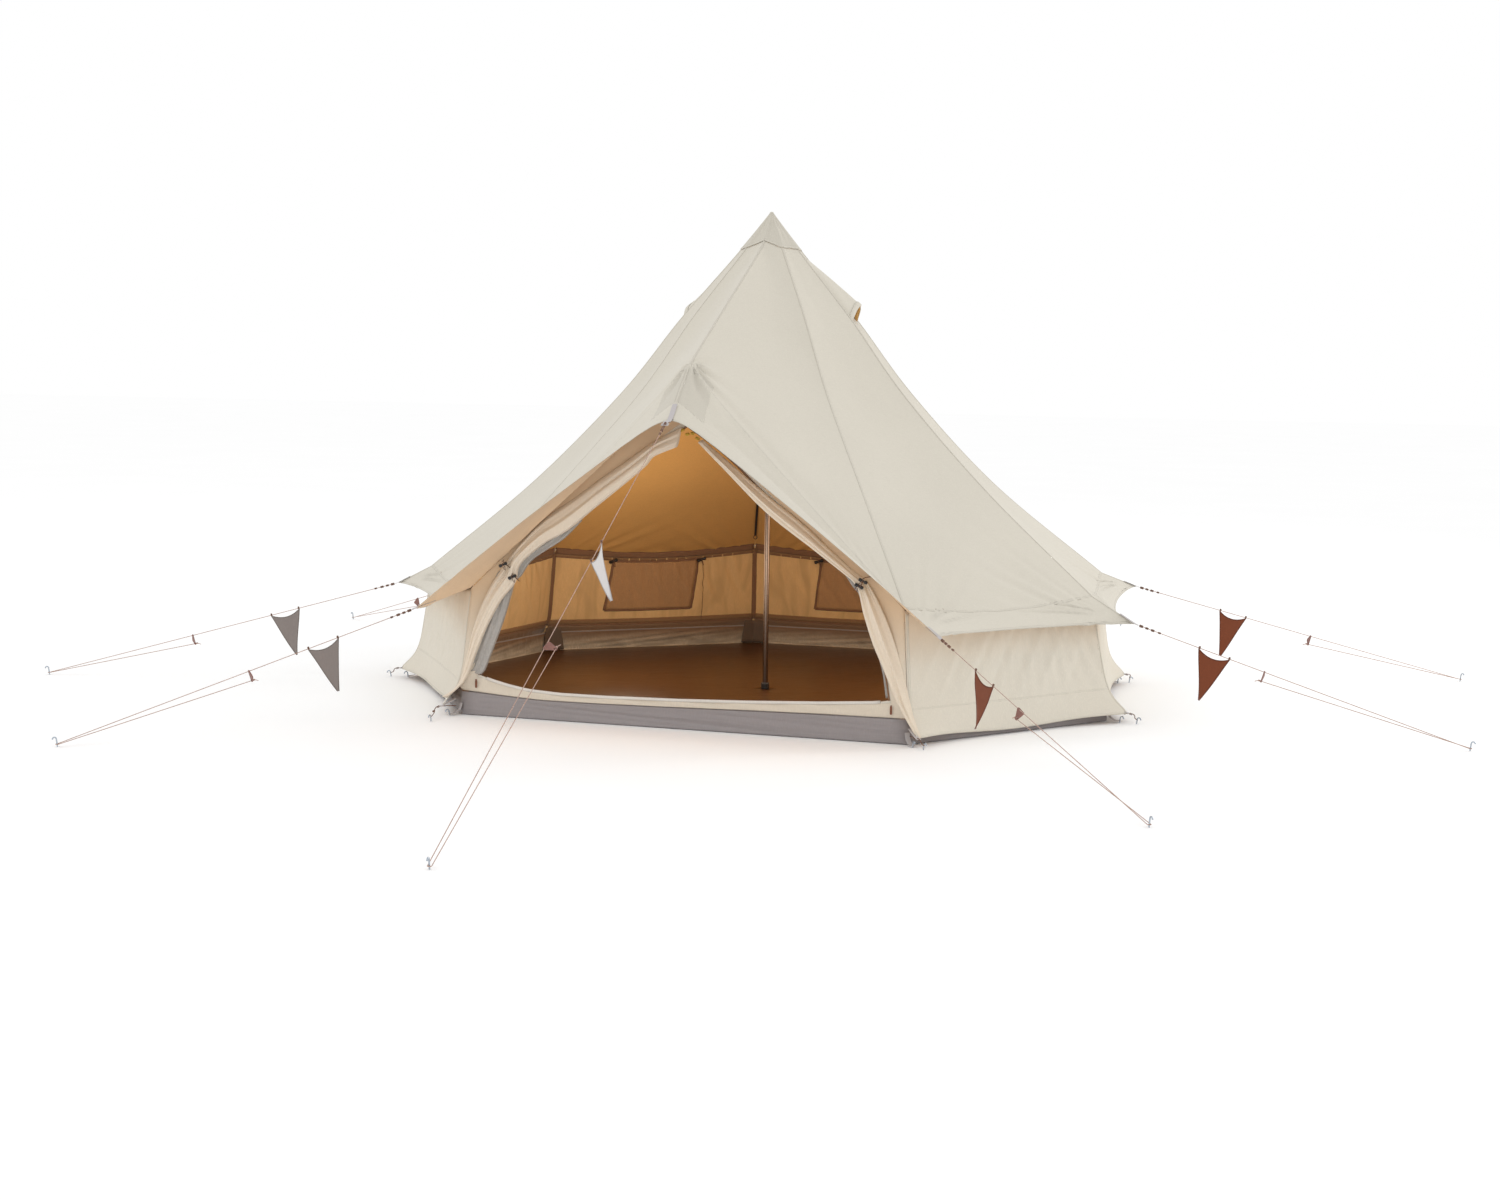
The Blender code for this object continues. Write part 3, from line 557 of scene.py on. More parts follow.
def ridge_table(angle, corner):
    """Points down a ridge, TABLE_STEPS of them for each row of the canopy."""
    count = SEAM_ROW * TABLE_STEPS + 1
    if corner is None:
        down = smooth(DOOR_PROFILE, count - TABLE_STEPS)
        porch = [DOOR_PROFILE[-1], PORCH_BREAK, PORCH_TIP]
        profile = np.concatenate([down, *[line(a, b, TABLE_STEPS) for a, b in zip(porch, porch[1:])]])
    else:
        seam = (corner["seam"], corner["seam_height"])
        eave = (corner["eave"], corner["eave_height"])
        profile = np.concatenate([smooth((*RIDGE_PROFILE, seam), count), line(seam, eave, TABLE_STEPS)])
    return np.array([polar(angle, radius, height) for radius, height in profile])


def line(start, end, count):
    """count points from start, which isn't one of them, to end."""
    shares = np.arange(1, count + 1)[:, None] / count
    return np.array(start, float) * (1 - shares) + np.array(end, float) * shares


RIDGE_ANGLES = (0.0, *CORNER_ANGLES, 360.0)
TABLES = np.stack([ridge_table(a, c) for a, c in zip(RIDGE_ANGLES, (None, *CORNERS, None))])
SECTORS = len(RIDGE_ANGLES) - 1


def outward_of(sector):
    middle = (RIDGE_ANGLES[sector] + RIDGE_ANGLES[sector + 1]) / 2
    return np.array(polar(middle, 1.0, 0.0))


def hem_pull(sector):
    first, second = CORNERS[sector - 1], CORNERS[sector]
    half = math.cos(math.radians((CORNER_ANGLES[sector] - CORNER_ANGLES[sector - 1]) / 2))
    overhang = (first["eave"] + second["eave"] - first["seam"] - second["seam"]) / 2 * half
    return overhang - HEM_MIDDLE


def ripples(share, row, width):
    """Fans of soft folds that spread from the two eave corners of a sector."""
    up = np.abs(SEAM_ROW + 0.75 - row) * 0.34 + 0.02
    height = 0.0
    for across in (share * width, (1 - share) * width):
        reach = np.hypot(across, up)
        turn = np.arctan2(across, up)
        fade = np.exp(-(reach / RIPPLE_REACH) ** 2) * np.clip((reach - 0.05) / 0.2, 0.0, 1.0)
        folds = np.sin(turn * 31.0) + 0.5 * np.sin(turn * 47.0 + 1.0)
        height = height + RIPPLE * fade * folds * np.clip(np.sin(turn * 2.0), 0, 1) ** 1.5
    return height


def porch_creases(share, row, width):
    """The line where the front wall is sewn under the porch, and puckers round the door frame's top."""
    sewn = SEAM_ROW - PORCH_OVERHANG_ROWS * (1 - share)
    from_line = (row - sewn) * 0.16
    crease = SEWN_RISE * np.exp(-(from_line / 0.020) ** 2)
    crease -= SEWN_DIP * np.exp(-((from_line + 0.034) / 0.030) ** 2)
    crease *= np.exp(-share / 0.55)
    across = share * width
    up = (7.0 - row) * 0.30
    reach = np.hypot(across, up)
    turn = np.arctan2(across, up)
    fade = np.exp(-(reach / 0.24) ** 2) * np.clip(reach / 0.06, 0.0, 1.0)
    return crease + PUCKER * fade * np.sin(turn * 9.0 + 0.6) * np.clip(across / 0.05, 0.0, 1.0)


def canopy_at(around, row):
    """Points of the roof cloth: around counts ridges from the door's, row runs from peak to hem."""
    around, row = np.broadcast_arrays(np.asarray(around, float), np.asarray(row, float))
    sector = np.clip(np.floor(around).astype(int), 0, SECTORS - 1)
    share = around - sector
    place = np.clip(row * TABLE_STEPS, 0, TABLES.shape[1] - 1.001)
    low = np.floor(place).astype(int)
    part = (place - low)[..., None]
    left = TABLES[sector, low] * (1 - part) + TABLES[sector, low + 1] * part
    right = TABLES[sector + 1, low] * (1 - part) + TABLES[sector + 1, low + 1] * part
    points = left * (1 - share[..., None]) + right * share[..., None]
    width = np.linalg.norm(right - left, axis=-1)
    bow = np.sin(np.pi * share)
    out = np.stack([outward_of(k) for k in range(SECTORS)])[sector]
    sag = np.where(row < SEAM_ROW, PANEL_SAG * np.sin(np.pi * np.clip(row / SEAM_ROW, 0, 1)) * bow, 0.0)
    flutter = FLUTTER * np.sin(around * 9.7 + row * 1.9) * np.sin(row * 2.7 - around * 3.1) * bow
    front = (sector == 0) | (sector == SECTORS - 1)
    from_tip = np.where(sector == 0, share, 1 - share)
    creases = np.where(front, porch_creases(from_tip, row, width), 0.0)
    fanned = ripples(share, row, width) * np.where(front, FRONT_SHARE_OF_RIPPLES, 1.0) * bow ** 0.5
    move = fanned + flutter - sag + creases
    points = points + (out + UP) * 0.7 * move[..., None]
    settle = np.where(front, 0.0, SEAM_SAG * bow * np.exp(-((row - SEAM_ROW) / 0.9) ** 2))
    points = points - UP * settle[..., None]
    pulls = np.array([0.0] + [hem_pull(k) for k in range(1, SECTORS - 1)] + [0.0])[sector]
    over = np.clip(row - SEAM_ROW, 0.0, 1.0)
    inward = np.where(front, 0.0, pulls * np.clip(bow, 0, 1) ** 0.62) * over
    early = (1 - np.exp(-from_tip / 0.05)) * (1 - from_tip ** 3.2)
    lifted = np.where(front, 0.048 * early, 0.0) * over ** 1.5
    droop = 0.012 * np.sin(np.pi * over) * bow
    return points - out * inward[..., None] + UP * (lifted + droop)[..., None]


def normals_at(around, row):
    return surface_normals(canopy_at, around, row, SECTORS, 0.01, (0, HEM_ROW))


ROOF = (canopy_at, normals_at, 0.0011)


def build_canopy():
    columns = 72
    even_share = np.linspace(0, 1, columns + 1)[:-1]
    crowded = even_share - 0.075 * np.sin(2 * np.pi * even_share)
    around = np.append((np.arange(SECTORS)[:, None] + crowded[None, :]).ravel(), SECTORS)
    rows = np.concatenate([np.linspace(0, 6, 44), np.linspace(6, SEAM_ROW, 44)[1:],
                           np.linspace(SEAM_ROW, HEM_ROW, 18)[1:]])
    points = canopy_at(around[None, :], rows[:, None])[:, :-1]
    panels = [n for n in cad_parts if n.startswith("roof_panel_")]
    middle = (np.floor(around[:-1]) + SECTORS) % SECTORS
    share = (around[:-1] + around[1:]) / 2 % 1.0
    from_ridge = np.where(middle == 0, share, np.where(middle == SECTORS - 1, 1 - share, 1.0))
    wall_row = SEAM_ROW - PORCH_OVERHANG_ROWS * (1 - from_ridge)
    picks = (rows[:-1, None] >= wall_row[None, :] - 0.01).astype(int)
    looks = ["canvas", "canvas", "canvas_inner", "overhang"]
    cloth("canopy", points, looks, closed=True, inner=2, picks=picks,
          replaced=panels)
    build_roof_seams()


def build_roof_seams():
    """Felled seams down the ridges, along the wall and across the porch, and the hems of the eaves."""
    rows = np.concatenate([np.linspace(0.35, SEAM_ROW, 60), np.linspace(SEAM_ROW, HEM_ROW - 0.02, 8)[1:]])
    place = np.minimum((rows * TABLE_STEPS).astype(int), TABLES.shape[1] - 1)
    for index in range(SECTORS):
        width = np.linalg.norm(TABLES[(index + 1) % SECTORS, place] - TABLES[index, place], axis=1)
        around = (index + tape_rows(SEAM_HALF) / width) % SECTORS
        grid = np.broadcast_to(rows, around.shape)
        normals = normals_at(around, grid)
        normals[2] = (normals[1] + normals[3]) / 2
        strip(f"ridge_seam_{index}", canopy_at(around, grid), "canvas_seam", normals=normals)
    for sector in range(SECTORS):
        front = sector in (0, SECTORS - 1)
        around = sector + np.linspace(0.004, 0.996, 48)
        hem = HEM_ROW - np.linspace(0.014 / (0.16 if front else 0.14), 0.0, 5)[:, None]
        laid_strip(f"eave_hem_{sector}", ROOF, around, hem, "canvas_seam")
        if not front:
            seam = SEAM_ROW - 0.02 + tape_rows(SEAM_HALF / 0.34)
            laid_strip(f"wall_seam_{sector}", ROOF, around, seam, "canvas_seam")
            tape = SEAM_ROW - 0.035 + tape_rows(0.022)
            laid_strip(f"roof_tape_{sector}", ROOF, around, tape, "tape", inside=True)
    build_porch_patch()


def build_porch_patch():
    """The doubled cloth over the top of the door frame, and the seam across the porch."""
    for name, on_side in (("right", lambda share: share), ("left", lambda share: SECTORS - share[::-1])):
        around = on_side(np.linspace(0.02, 0.985, 60))
        sewn = SEAM_ROW - PORCH_OVERHANG_ROWS * (1 - np.minimum(around, SECTORS - around))
        laid_strip(f"porch_seam_{name}", ROOF, around, sewn + tape_rows(0.035), "canvas_seam", lift=0.0006)
        around, row = np.meshgrid(on_side(np.linspace(0.005, 0.12, 12)), np.linspace(6.96, 8.35, 20))
        proud = np.full(row.shape, 0.0011)
        proud[[0, -1]] = 0.0
        proud[:, -1 if name == "right" else 0] = 0.0
        points = canopy_at(around, row) + normals_at(around, row) * (proud - TAPE_BED)[..., None]
        patch(f"porch_patch_{name}", points, "cap", THIN_CLOTH)


# ---------------------------------------------------------------- peak cap and vent hoods


CAP_TOP = 2.585
CAP_TIP_RADIUS = 0.015
CAP_HEM_ROW = 0.53
CAP_DOOR_LIFT = 0.03


def build_cap():
    """The cone of doubled canvas over the peak, drawn tight, with a hem that lifts over the door."""
    around = np.linspace(0, SECTORS, SECTORS * 14 + 1)[:-1]
    near_door = np.exp(-(np.minimum(around, SECTORS - around) / 0.45) ** 2)
    hem_row = CAP_HEM_ROW - CAP_DOOR_LIFT * near_door + 0.012 * np.cos(2 * np.pi * around)
    hem = canopy_at(around, hem_row) + normals_at(around, hem_row) * 0.0045
    apex = np.array([0.0, 0.0, CAP_TOP + 0.4 * CAP_TIP_RADIUS])
    rows = []
    for share in np.linspace(0.085, 1.0, 26):
        row = apex * (1 - share) + hem * share
        pucker = 0.0030 * np.sin(around * 2 * np.pi * 2 + 0.7) * math.sin(math.pi * share) ** 1.2
        belly = 0.004 * math.sin(math.pi * share)
        swell = (pucker - belly) / max(0.185 * share, 0.02)
        rows.append(row * (1 + swell[:, None] * np.array([1, 1, 0.0])))
    points = np.array(rows)
    cloth("peak_cap_cloth", points, ["cap", "canvas_inner"],
          closed=True, inner=1, replaced=["peak_cap"], thickness=0.0016)
    closed_hem = np.concatenate([points[-3:], points[-3:, :1]], axis=1)
    strip("peak_cap_hem", even_rows(closed_hem, 5), "canvas_seam", lift=0.0014)
    slope = CAP_TOP - points[0][:, 2].mean()
    radius = float(np.linalg.norm(points[0][:, :2], axis=1).mean())
    turns = np.linspace(0, 1.5, 9)
    dome = [(radius * math.cos(turn), CAP_TOP - slope * (1 - math.sin(turn))) for turn in turns]
    lathe("peak_cap_tip", [(radius * 0.985, dome[0][1] - 0.004), *dome], "cap")


def even_rows(points, count):
    """The same strip with count rows, evenly spread."""
    shares = np.linspace(0, points.shape[0] - 1.0001, count)
    low = shares.astype(int)
    part = (shares - low)[:, None, None]
    return points[low] * (1 - part) + points[low + 1] * part


HOOD_ANGLE = 100.0
HOOD_HEIGHTS = (2.33, 1.99)
HOOD_HALF_WIDTHS = (0.062, 0.158)
HOOD_CROWN = 0.082


def hood_points(angle, raised=1.0):
    """A scoop of cloth that rises from the roof towards its mouth, whose lip is cut back in the middle."""
    middle = 2.5 if angle > 0 else SECTORS - 2.5
    table = np.linspace(0, SEAM_ROW, 400)
    heights = canopy_at(middle, table)[:, 2]
    tangent = np.array(polar(angle + 90.0, 1.0, 0.0))
    normal = np.array(polar(angle, 0.76, 0.65))
    points = []
    for share in np.linspace(0.0, 1.0, 32):
        half = HOOD_HALF_WIDTHS[0] + (HOOD_HALF_WIDTHS[1] - HOOD_HALF_WIDTHS[0]) * share
        row = []
        for across in np.sin(np.linspace(-math.pi / 2, math.pi / 2, 40)):
            cut = share * (1 - 0.12 * (1 - across * across))
            height = HOOD_HEIGHTS[0] + (HOOD_HEIGHTS[1] - HOOD_HEIGHTS[0]) * cut
            spot = canopy_at(middle, np.interp(-height, -heights, table)) + tangent * across * half
            rise = 0.0005 + (0.010 + HOOD_CROWN * share) * (1.0 - abs(across) ** 1.6) ** 0.85
            dent = 0.004 * math.sin(across * 9.0 + share * 3.0) * share * (1 - across * across)
            row.append(spot + normal * (rise * raised + dent))
        points.append(row)
    return np.array(points)


def build_hood_turn_up(name, points):
    """The doubled edge of the scoop, turned up round its mouth, with a roll along it."""
    edge = points[-1]
    ahead = unit(edge - points[-4])
    out = unit(np.cross(ahead, np.gradient(edge, axis=0)))
    out *= np.sign((out * (edge - edge.mean(axis=0))).sum(axis=1)).reshape(-1, 1)
    fade = np.sin(np.linspace(0, np.pi, len(edge)))[:, None] ** 0.5
    roll = ((-0.030, 0.002), (-0.027, 0.0052), (-0.014, 0.0062), (-0.002, 0.0056), (0.0005, 0.0030),
            (-0.0005, 0.0008))
    rows = np.array([edge + ahead * along + out * lift * fade for along, lift in roll])
    patch(f"vent_roll_{name}", rows, "canvas", 0.0008)


def build_hoods():
    for name, side in SIDES:
        angle = side * HOOD_ANGLE
        points = hood_points(angle)
        cloth(f"vent_scoop_{name}", points, ["canvas", "canvas_inner"],
              inner=1, replaced=["vent_hood_" + name], thickness=0.0012)
        strip(f"vent_lip_{name}", even_rows(points[-2:], 5), "canvas_seam", lift=0.0016)
        build_hood_turn_up(name, points)
        inside = points[-6] * 0.985 + points[-6, :1] * 0.015
        screen = between(inside, hood_points(angle, raised=0.0)[-6], np.linspace(0.06, 0.92, 8))
        patch(f"vent_mesh_{name}", screen, "window_mesh", THIN_CLOTH)


# ---------------------------------------------------------------- walls


WALL_TOP = (0.004, 0.008)
WALL_HEM = 0.035
FLARE = 0.085
PLEAT = 0.0085
DRAPE = 0.0036
BELLY = 0.012
SWEEP = 0.004
HEM_LIFT = 0.012
WALL_ROWS = 36


def wall_at(around, share):
    """Points of the wall: around counts corners from the right door corner, share runs from top to hem."""
    around, share = np.broadcast_arrays(np.asarray(around, float), np.asarray(share, float))
    tops = np.array([polar(a, c["seam"] - WALL_TOP[0], c["seam_height"] - WALL_TOP[1])
                     for a, c in zip(CORNER_ANGLES, CORNERS)])
    hems = np.array([polar(a, c["base"], WALL_HEM) for a, c in zip(CORNER_ANGLES, CORNERS)])
    spots = np.array([polar(a, 1.0, 0.0) for a in CORNER_ANGLES])
    side = np.clip(np.floor(around).astype(int), 0, len(CORNERS) - 2)
    part = around - side
    down = share[..., None]
    left = tops[side] * (1 - down) + hems[side] * down
    right = tops[side + 1] * (1 - down) + hems[side + 1] * down
    points = left * (1 - part[..., None]) + right * part[..., None]
    out = unit(spots[side] + spots[side + 1])
    width = np.linalg.norm(right - left, axis=-1)
    bow = np.sin(np.pi * part)
    points = points - UP * (SEAM_SAG * bow * (1 - share) ** 1.5)[..., None]
    end = np.where(side == 0, np.exp(-((1 - part) / 0.42) ** 2) + 0.12, 0.55)
    slant = np.where(part > 0.5, -0.20, 0.20) * (np.abs(part - 0.5) * 2) ** 2
    run = (part + slant * share) * width
    pleats = np.sin(run * 104.0) + 0.5 * np.sin(run * 63.0 + 1.3)
    pleats = PLEAT * pleats * np.exp(-share * 1.9) * bow ** 0.3 * end
    slope = (part * width + share * 0.36) * 46.0 + 2.1 * side
    drape = np.sin(slope) + 0.55 * np.sin(slope * 1.83 + 1.0) + 0.3 * np.sin(slope * 3.1)
    drape = DRAPE * drape * np.exp(-((share - 0.38) / 0.34) ** 2) * bow ** 0.5
    belly = BELLY * np.sin(np.pi * share) * bow
    sweep = SWEEP * np.sin((part * 2.0 + share) * 7.0 + side) * bow
    calm = np.clip((0.95 - share) / 0.30, 0.0, 1.0)
    points = points + out * ((pleats + drape + sweep - belly) * calm)[..., None]
    flare = 0.0
    for corner, spot in ((part, spots[side]), (1 - part, spots[side + 1])):
        near = np.exp(-(np.abs(corner * width) / 0.20) ** 1.5) * np.exp(-(np.abs(1.0 - share) / 0.15) ** 1.6)
        flare = flare + spot * near[..., None]
    lift = HEM_LIFT * np.exp(-((1.0 - share) / 0.1) ** 2) * np.cos(np.pi * 2 * part)
    return points + flare * FLARE + UP * lift[..., None]


def wall_normals(around, share):
    return surface_normals(wall_at, around, share, len(CORNERS) - 1, 0.004, (-1.0, 2.0))


WALL = (wall_at, wall_normals, 0.0010)


def build_seam_cover(side):
    """The tape inside that closes the seam between one side of the wall and the roof."""
    run = side + np.linspace(0.006, 0.994, 60)
    low, high = np.full(60, 0.034), np.full(60, SEAM_ROW - 0.05)
    normals = wall_normals(run, low)
    head = canopy_at(run + 1, high) - normals_at(run + 1, high) * 0.0036
    rows = between(head, wall_at(run, low) - normals * 0.0060, np.linspace(0, 1, 5))
    strip(f"seam_cover_{side}", rows, "tape", normals=-np.broadcast_to(normals, rows.shape))


# Tapes round the inside of the wall: the share of its height at the middle, half the width as a share, and look
WALL_TAPES = (
    ("top", 0.006, 0.009, "tape"), ("seam_band", 0.036, 0.024, "band"), ("second", 0.064, 0.007, "tape"),
    ("low", 0.797, 0.008, "tape"), ("band", 0.762, 0.026, "band"), ("rise", 0.752, 0.004, "tape"),
    ("tub", 0.848, 0.044, "tub_inner"),
)


def build_walls():
    """One run of cloth between the door corners, with corner seams, a skirt, a bound hem and inner tapes."""
    sides = len(CORNERS) - 1
    around = np.linspace(0, sides, sides * 96 + 1)
    points = wall_at(around, np.linspace(0, 1, WALL_ROWS + 1)[:, None])
    walls = [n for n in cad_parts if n.startswith("wall_")]
    cloth("wall_cloth", points, ["wall", "wall_inner"], inner=1,
          replaced=walls)
    for corner in range(sides + 1):
        place = min(max(corner, 0.012), sides - 0.012)
        down = np.linspace(0.02, 0.985, 40)
        laid_strip(f"wall_corner_seam_{corner}", WALL, place + tape_rows(0.0065), down, "wall_seam")
        if 0 < corner < sides:
            across, down = corner + tape_rows(0.012), np.linspace(0.02, 0.80, 30)
            laid_strip(f"wall_corner_tape_{corner}", WALL, across, down, "tape", inside=True)
    for side in range(sides):
        run = side + np.linspace(0.006, 0.994, 60)
        for name, middle, half in (("skirt", 0.772, 0.011), ("hem", 0.987, 0.012)):
            laid_strip(f"wall_{name}_{side}", WALL, run, middle + tape_rows(half), "wall_seam")
        for name, middle, half, look in WALL_TAPES:
            level = middle + tape_rows(half)
            laid_strip(f"wall_inner_{name}_{side}", WALL, run, level, look, inside=True)
        build_seam_cover(side)


# ---------------------------------------------------------------- windows


WINDOW_LEAN = 0.055
THIN_CORD_RADIUS = 0.0016


def window_patch(name, side, low, high, top, bottom, look, layer):
    """A flat panel of cloth inside a wall, between two shares of the side and of the wall's height."""
    share = np.linspace(top, bottom, 24)[:, None]
    around = side + np.linspace(low, high, 30)[None, :] + WINDOW_LEAN * (share - top)
    around, share = np.broadcast_arrays(around, share)
    normals = wall_normals(around, share)
    slack = np.sin(np.linspace(0, math.pi, 30))[None, :] * np.sin(np.linspace(0, math.pi, 24))[:, None]
    folds = 0.002 * np.sin(around * 60.0 + share * 9.0) * slack
    points = wall_at(around, share) - normals * (CLOTH + 0.0015 + layer * 0.002 + folds * layer)[..., None]
    patch(name, points, look, THIN_CLOTH, flip=True)


def window_frame(name, side, low, high, top, bottom):
    """Dark tapes round a window, with a toggle and loop at each top corner."""
    across, down = np.linspace(low, high, 30), np.linspace(top, bottom, 24)
    edges = {
        "top": (across, top + tape_rows(0.012)),
        "foot": (across, bottom + tape_rows(0.012)),
        "first": (low + tape_rows(0.008), down),
        "last": (high + tape_rows(0.008), down),
    }
    for edge, (around, share) in edges.items():
        around = side + around + WINDOW_LEAN * (share - top)
        laid_strip(f"{name}_{edge}", WALL, around, share, "tape", inside=True, lift=0.0045)
    for index, around in enumerate((side + low - 0.02, side + high + 0.01)):
        spot = wall_at(around, 0.075)
        at = Vector(spot - wall_normals(around, 0.075) * 0.018)
        toggle(f"{name}_toggle_{index}", at, Vector((spot[1], -spot[0], 0.6)), 1.7)


def build_windows():
    """Windows in the sides that face the back, with mesh inside and a blind tied over it."""
    for name, side, low, high in (("window_right", 2, 0.29, 0.71), ("window_back", 3, 0.336, 0.664),
                                  ("window_left", 4, 0.29, 0.71)):
        window_patch(name + "_mesh", side, low, high, 0.080, 0.635, "window_mesh", 0)
        window_patch(name + "_blind", side, low + 0.004, high - 0.004, 0.085, 0.63, "blind", 1)
        window_frame(name, side, low, high, 0.080, 0.64)
        around, down = side + low - 0.025, np.linspace(0.10, 0.79, 24)
        sway = 0.010 + 0.006 * np.sin(np.linspace(0, 5, 24))[:, None]
        tie = wall_at(around, down) - wall_normals(np.full(24, around), down) * sway
        piece = curve_tube(name + "_tie", tie, THIN_CORD_RADIUS, "thin_cord")


def toggle(name, at, along, size=1.0):
    """A moulded toggle: a barrel with a waist and two end caps, and the cord loop that holds it."""
    length, radius = 0.034 * size, 0.0062 * size
    end = [(0.55, 0.5), (1.0, 0.44), (1.0, 0.26), (0.72, 0.18)]
    shape = [(r, -h) for r, h in end] + [(0.62, 0.0)] + end[::-1]
    lathe(name, [(radius * r, length * h) for r, h in shape], "black", at=at, towards=along,
          steps=18)
    side = along.cross(Vector(UP)).normalized()
    up = side.cross(along.normalized())
    ring = circle(at - up * radius * 1.3, side * radius * 1.1, up * radius * 2.2, 21)
    curve_tube(name + "_loop", ring, 0.0014, "thin_cord")


# ---------------------------------------------------------------- front wall and door


def depth_at(height):
    return DOOR_FOOT_Y + DOOR_LEAN * height


def front_spot(x, height, forward=0.0):
    return np.array([x, depth_at(height) - forward, height])


def sill_top(x):
    """The height of the doorway's lower edge, which sags between the jambs, most on the left."""
    return np.interp(x, (-1.06, -0.99, -0.90, -0.79, -0.62, -0.38, 0.0, 0.36, 0.72, 1.0, 1.06),
                     (0.205, 0.184, 0.164, 0.146, 0.137, 0.137, 0.145, 0.158, 0.176, 0.195, 0.205))


def tub_top(x):
    """The height of the groundsheet's front edge, which sags in the same way."""
    return np.interp(x, (-1.15, -0.93, -0.72, -0.37, 0.02, 0.38, 0.72, 1.15),
                     (0.120, 0.106, 0.095, 0.097, 0.104, 0.112, 0.117, 0.120))


def front_outline():
    """The right halves of the front wall's edge and of the doorway, from top middle to bottom middle."""
    shoulder, low = 34, 20
    inner = np.concatenate([smooth(OPENING[:6], shoulder), smooth(OPENING[5:], low)[1:]])
    across = np.linspace(0, 1, shoulder)
    outer = canopy_at(across * 0.9985, SEAM_ROW - PORCH_OVERHANG_ROWS * (1 - across)) - UP * 0.006
    side = wall_at(0.0, np.linspace(0.03, 0.80, low - 2)) + np.array([-0.002, -0.002, 0.0])
    foot = front_spot(1.150, SILL_BOTTOM)
    shares = 1 - np.arange(1, SILL_STEPS + 1) / SILL_STEPS
    sill = [front_spot(foot[0] * share, SILL_BOTTOM) for share in shares]
    outer = np.concatenate([outer, side, [foot], sill])
    opening = [front_spot(x, z) for x, z in inner]
    jamb_x, jamb_z = OPENING[-1]
    for share in shares:
        opening.append(front_spot(jamb_x * share, jamb_z - 0.012 * math.cos(share * math.pi / 2)))
    return outer, np.array(opening)


def build_front_wall():
    outer, opening = front_outline()
    half = between(outer, opening, np.linspace(0, 1, 14))
    inward = np.linspace(0, 1, 14)[:, None]
    down = np.linspace(0, 1, half.shape[1])
    gather = np.sin(np.pi * inward) * np.sin(np.pi * np.clip(down * 1.25, 0, 1))
    ruck = 0.0035 * np.sin(down * 46.0 + inward * 5.0) + 0.006 * np.sin(down * 13.0 - inward * 3.0)
    half[..., 1] -= gather * ruck
    other = half[:, 1:-1][:, ::-1] * np.array([-1.0, 1.0, 1.0])
    points = np.concatenate([half, other], axis=1)
    low = slice(half.shape[1] - SILL_STEPS, half.shape[1] + SILL_STEPS - 1)
    x = points[:, low, 0]
    heights = (tub_top(x) + 0.004) * (1 - inward) + sill_top(x) * inward
    points[:, low, 2] = heights
    slack = 0.0025 * np.sin(x * 17.0 + 60.0 * heights) * np.sin(np.pi * inward)
    points[:, low, 1] = depth_at(heights) - slack
    cloth("front_cloth", points, ["front", "wall_inner"], closed=True,
          inner=1, replaced=["front_wall"])
    edge = np.concatenate([points[-3:], points[-3:, :1]], axis=1)
    strip("doorway_binding", even_rows(edge, 5), "wall_seam", lift=0.0016)
    build_sill(points[-1, low], opening[:-SILL_STEPS])


def build_sill(foot, jamb):
    """A pale rolled edge along the foot of the doorway, and the zip tape round the doorway."""
    roll = ((0.0035, -0.001), (0.0015, 0.0035), (-0.0030, 0.0045), (-0.0050, 0.0), (-0.0045, -0.006),
            (-0.0020, -0.010))
    band = np.stack([foot + np.array([0.0, forward, up]) for forward, up in roll])
    strip("sill_band", band, "sill_edge", lift=0.0010)
    for name, side in SIDES:
        zip_run = even(jamb * np.array([side, 1.0, 1.0]), 90) + np.array([side * 0.004, -0.0040, 0.0])
        swept(f"zip_{name}", zip_run, flat_profile(0.009, 0.0022), "tape", upright=(0, -1, 0))


LEAF_OUTER = {
    "right": ((0.082, 1.411, 0), (0.267, 1.272, 0), (0.449, 1.134, 0), (0.603, 1.025, 0), (0.757, 0.898, 0),
              (0.885, 0.795, 0), (0.937, 0.757, 0), (1.004, 0.65, 0), (1.067, 0.516, 0), (1.125, 0.355, 0),
              (1.164, 0.22, 0.008), (1.205, 0.115, 0.035), (1.24, 0.052, 0.055)),
    "left": ((-0.028, 1.466, 0), (-0.175, 1.39, 0), (-0.307, 1.296, 0), (-0.43, 1.213, 0), (-0.564, 1.115, 0),
             (-0.729, 1.002, 0), (-0.846, 0.888, 0), (-0.936, 0.772, 0), (-1.031, 0.62, 0), (-1.098, 0.45, 0),
             (-1.129, 0.303, 0), (-1.155, 0.179, 0.010), (-1.19, 0.125, 0.035), (-1.232, 0.096, 0.055)),
}
LEAF_INNER = {
    "right": ((0.067, 1.40, 0), (0.189, 1.296, 0), (0.43, 1.08, 0), (0.667, 0.915, 0), (0.81, 0.814, 0),
              (0.893, 0.743, 0), (0.935, 0.615, 0), (0.986, 0.475, 0), (1.048, 0.346, 0),
              (1.11, 0.218, 0.006), (1.19, 0.095, 0.030), (1.228, 0.043, 0.050)),
    "left": ((-0.045, 1.379, 0), (-0.159, 1.33, 0), (-0.202, 1.282, 0), (-0.303, 1.197, 0),
             (-0.459, 1.072, 0), (-0.606, 0.952, 0), (-0.727, 0.883, 0), (-0.852, 0.775, 0),
             (-0.880, 0.683, 0), (-0.950, 0.592, 0), (-1.024, 0.456, 0), (-1.082, 0.309, 0),
             (-1.117, 0.207, 0.008), (-1.16, 0.14, 0.030), (-1.215, 0.092, 0.050)),
}
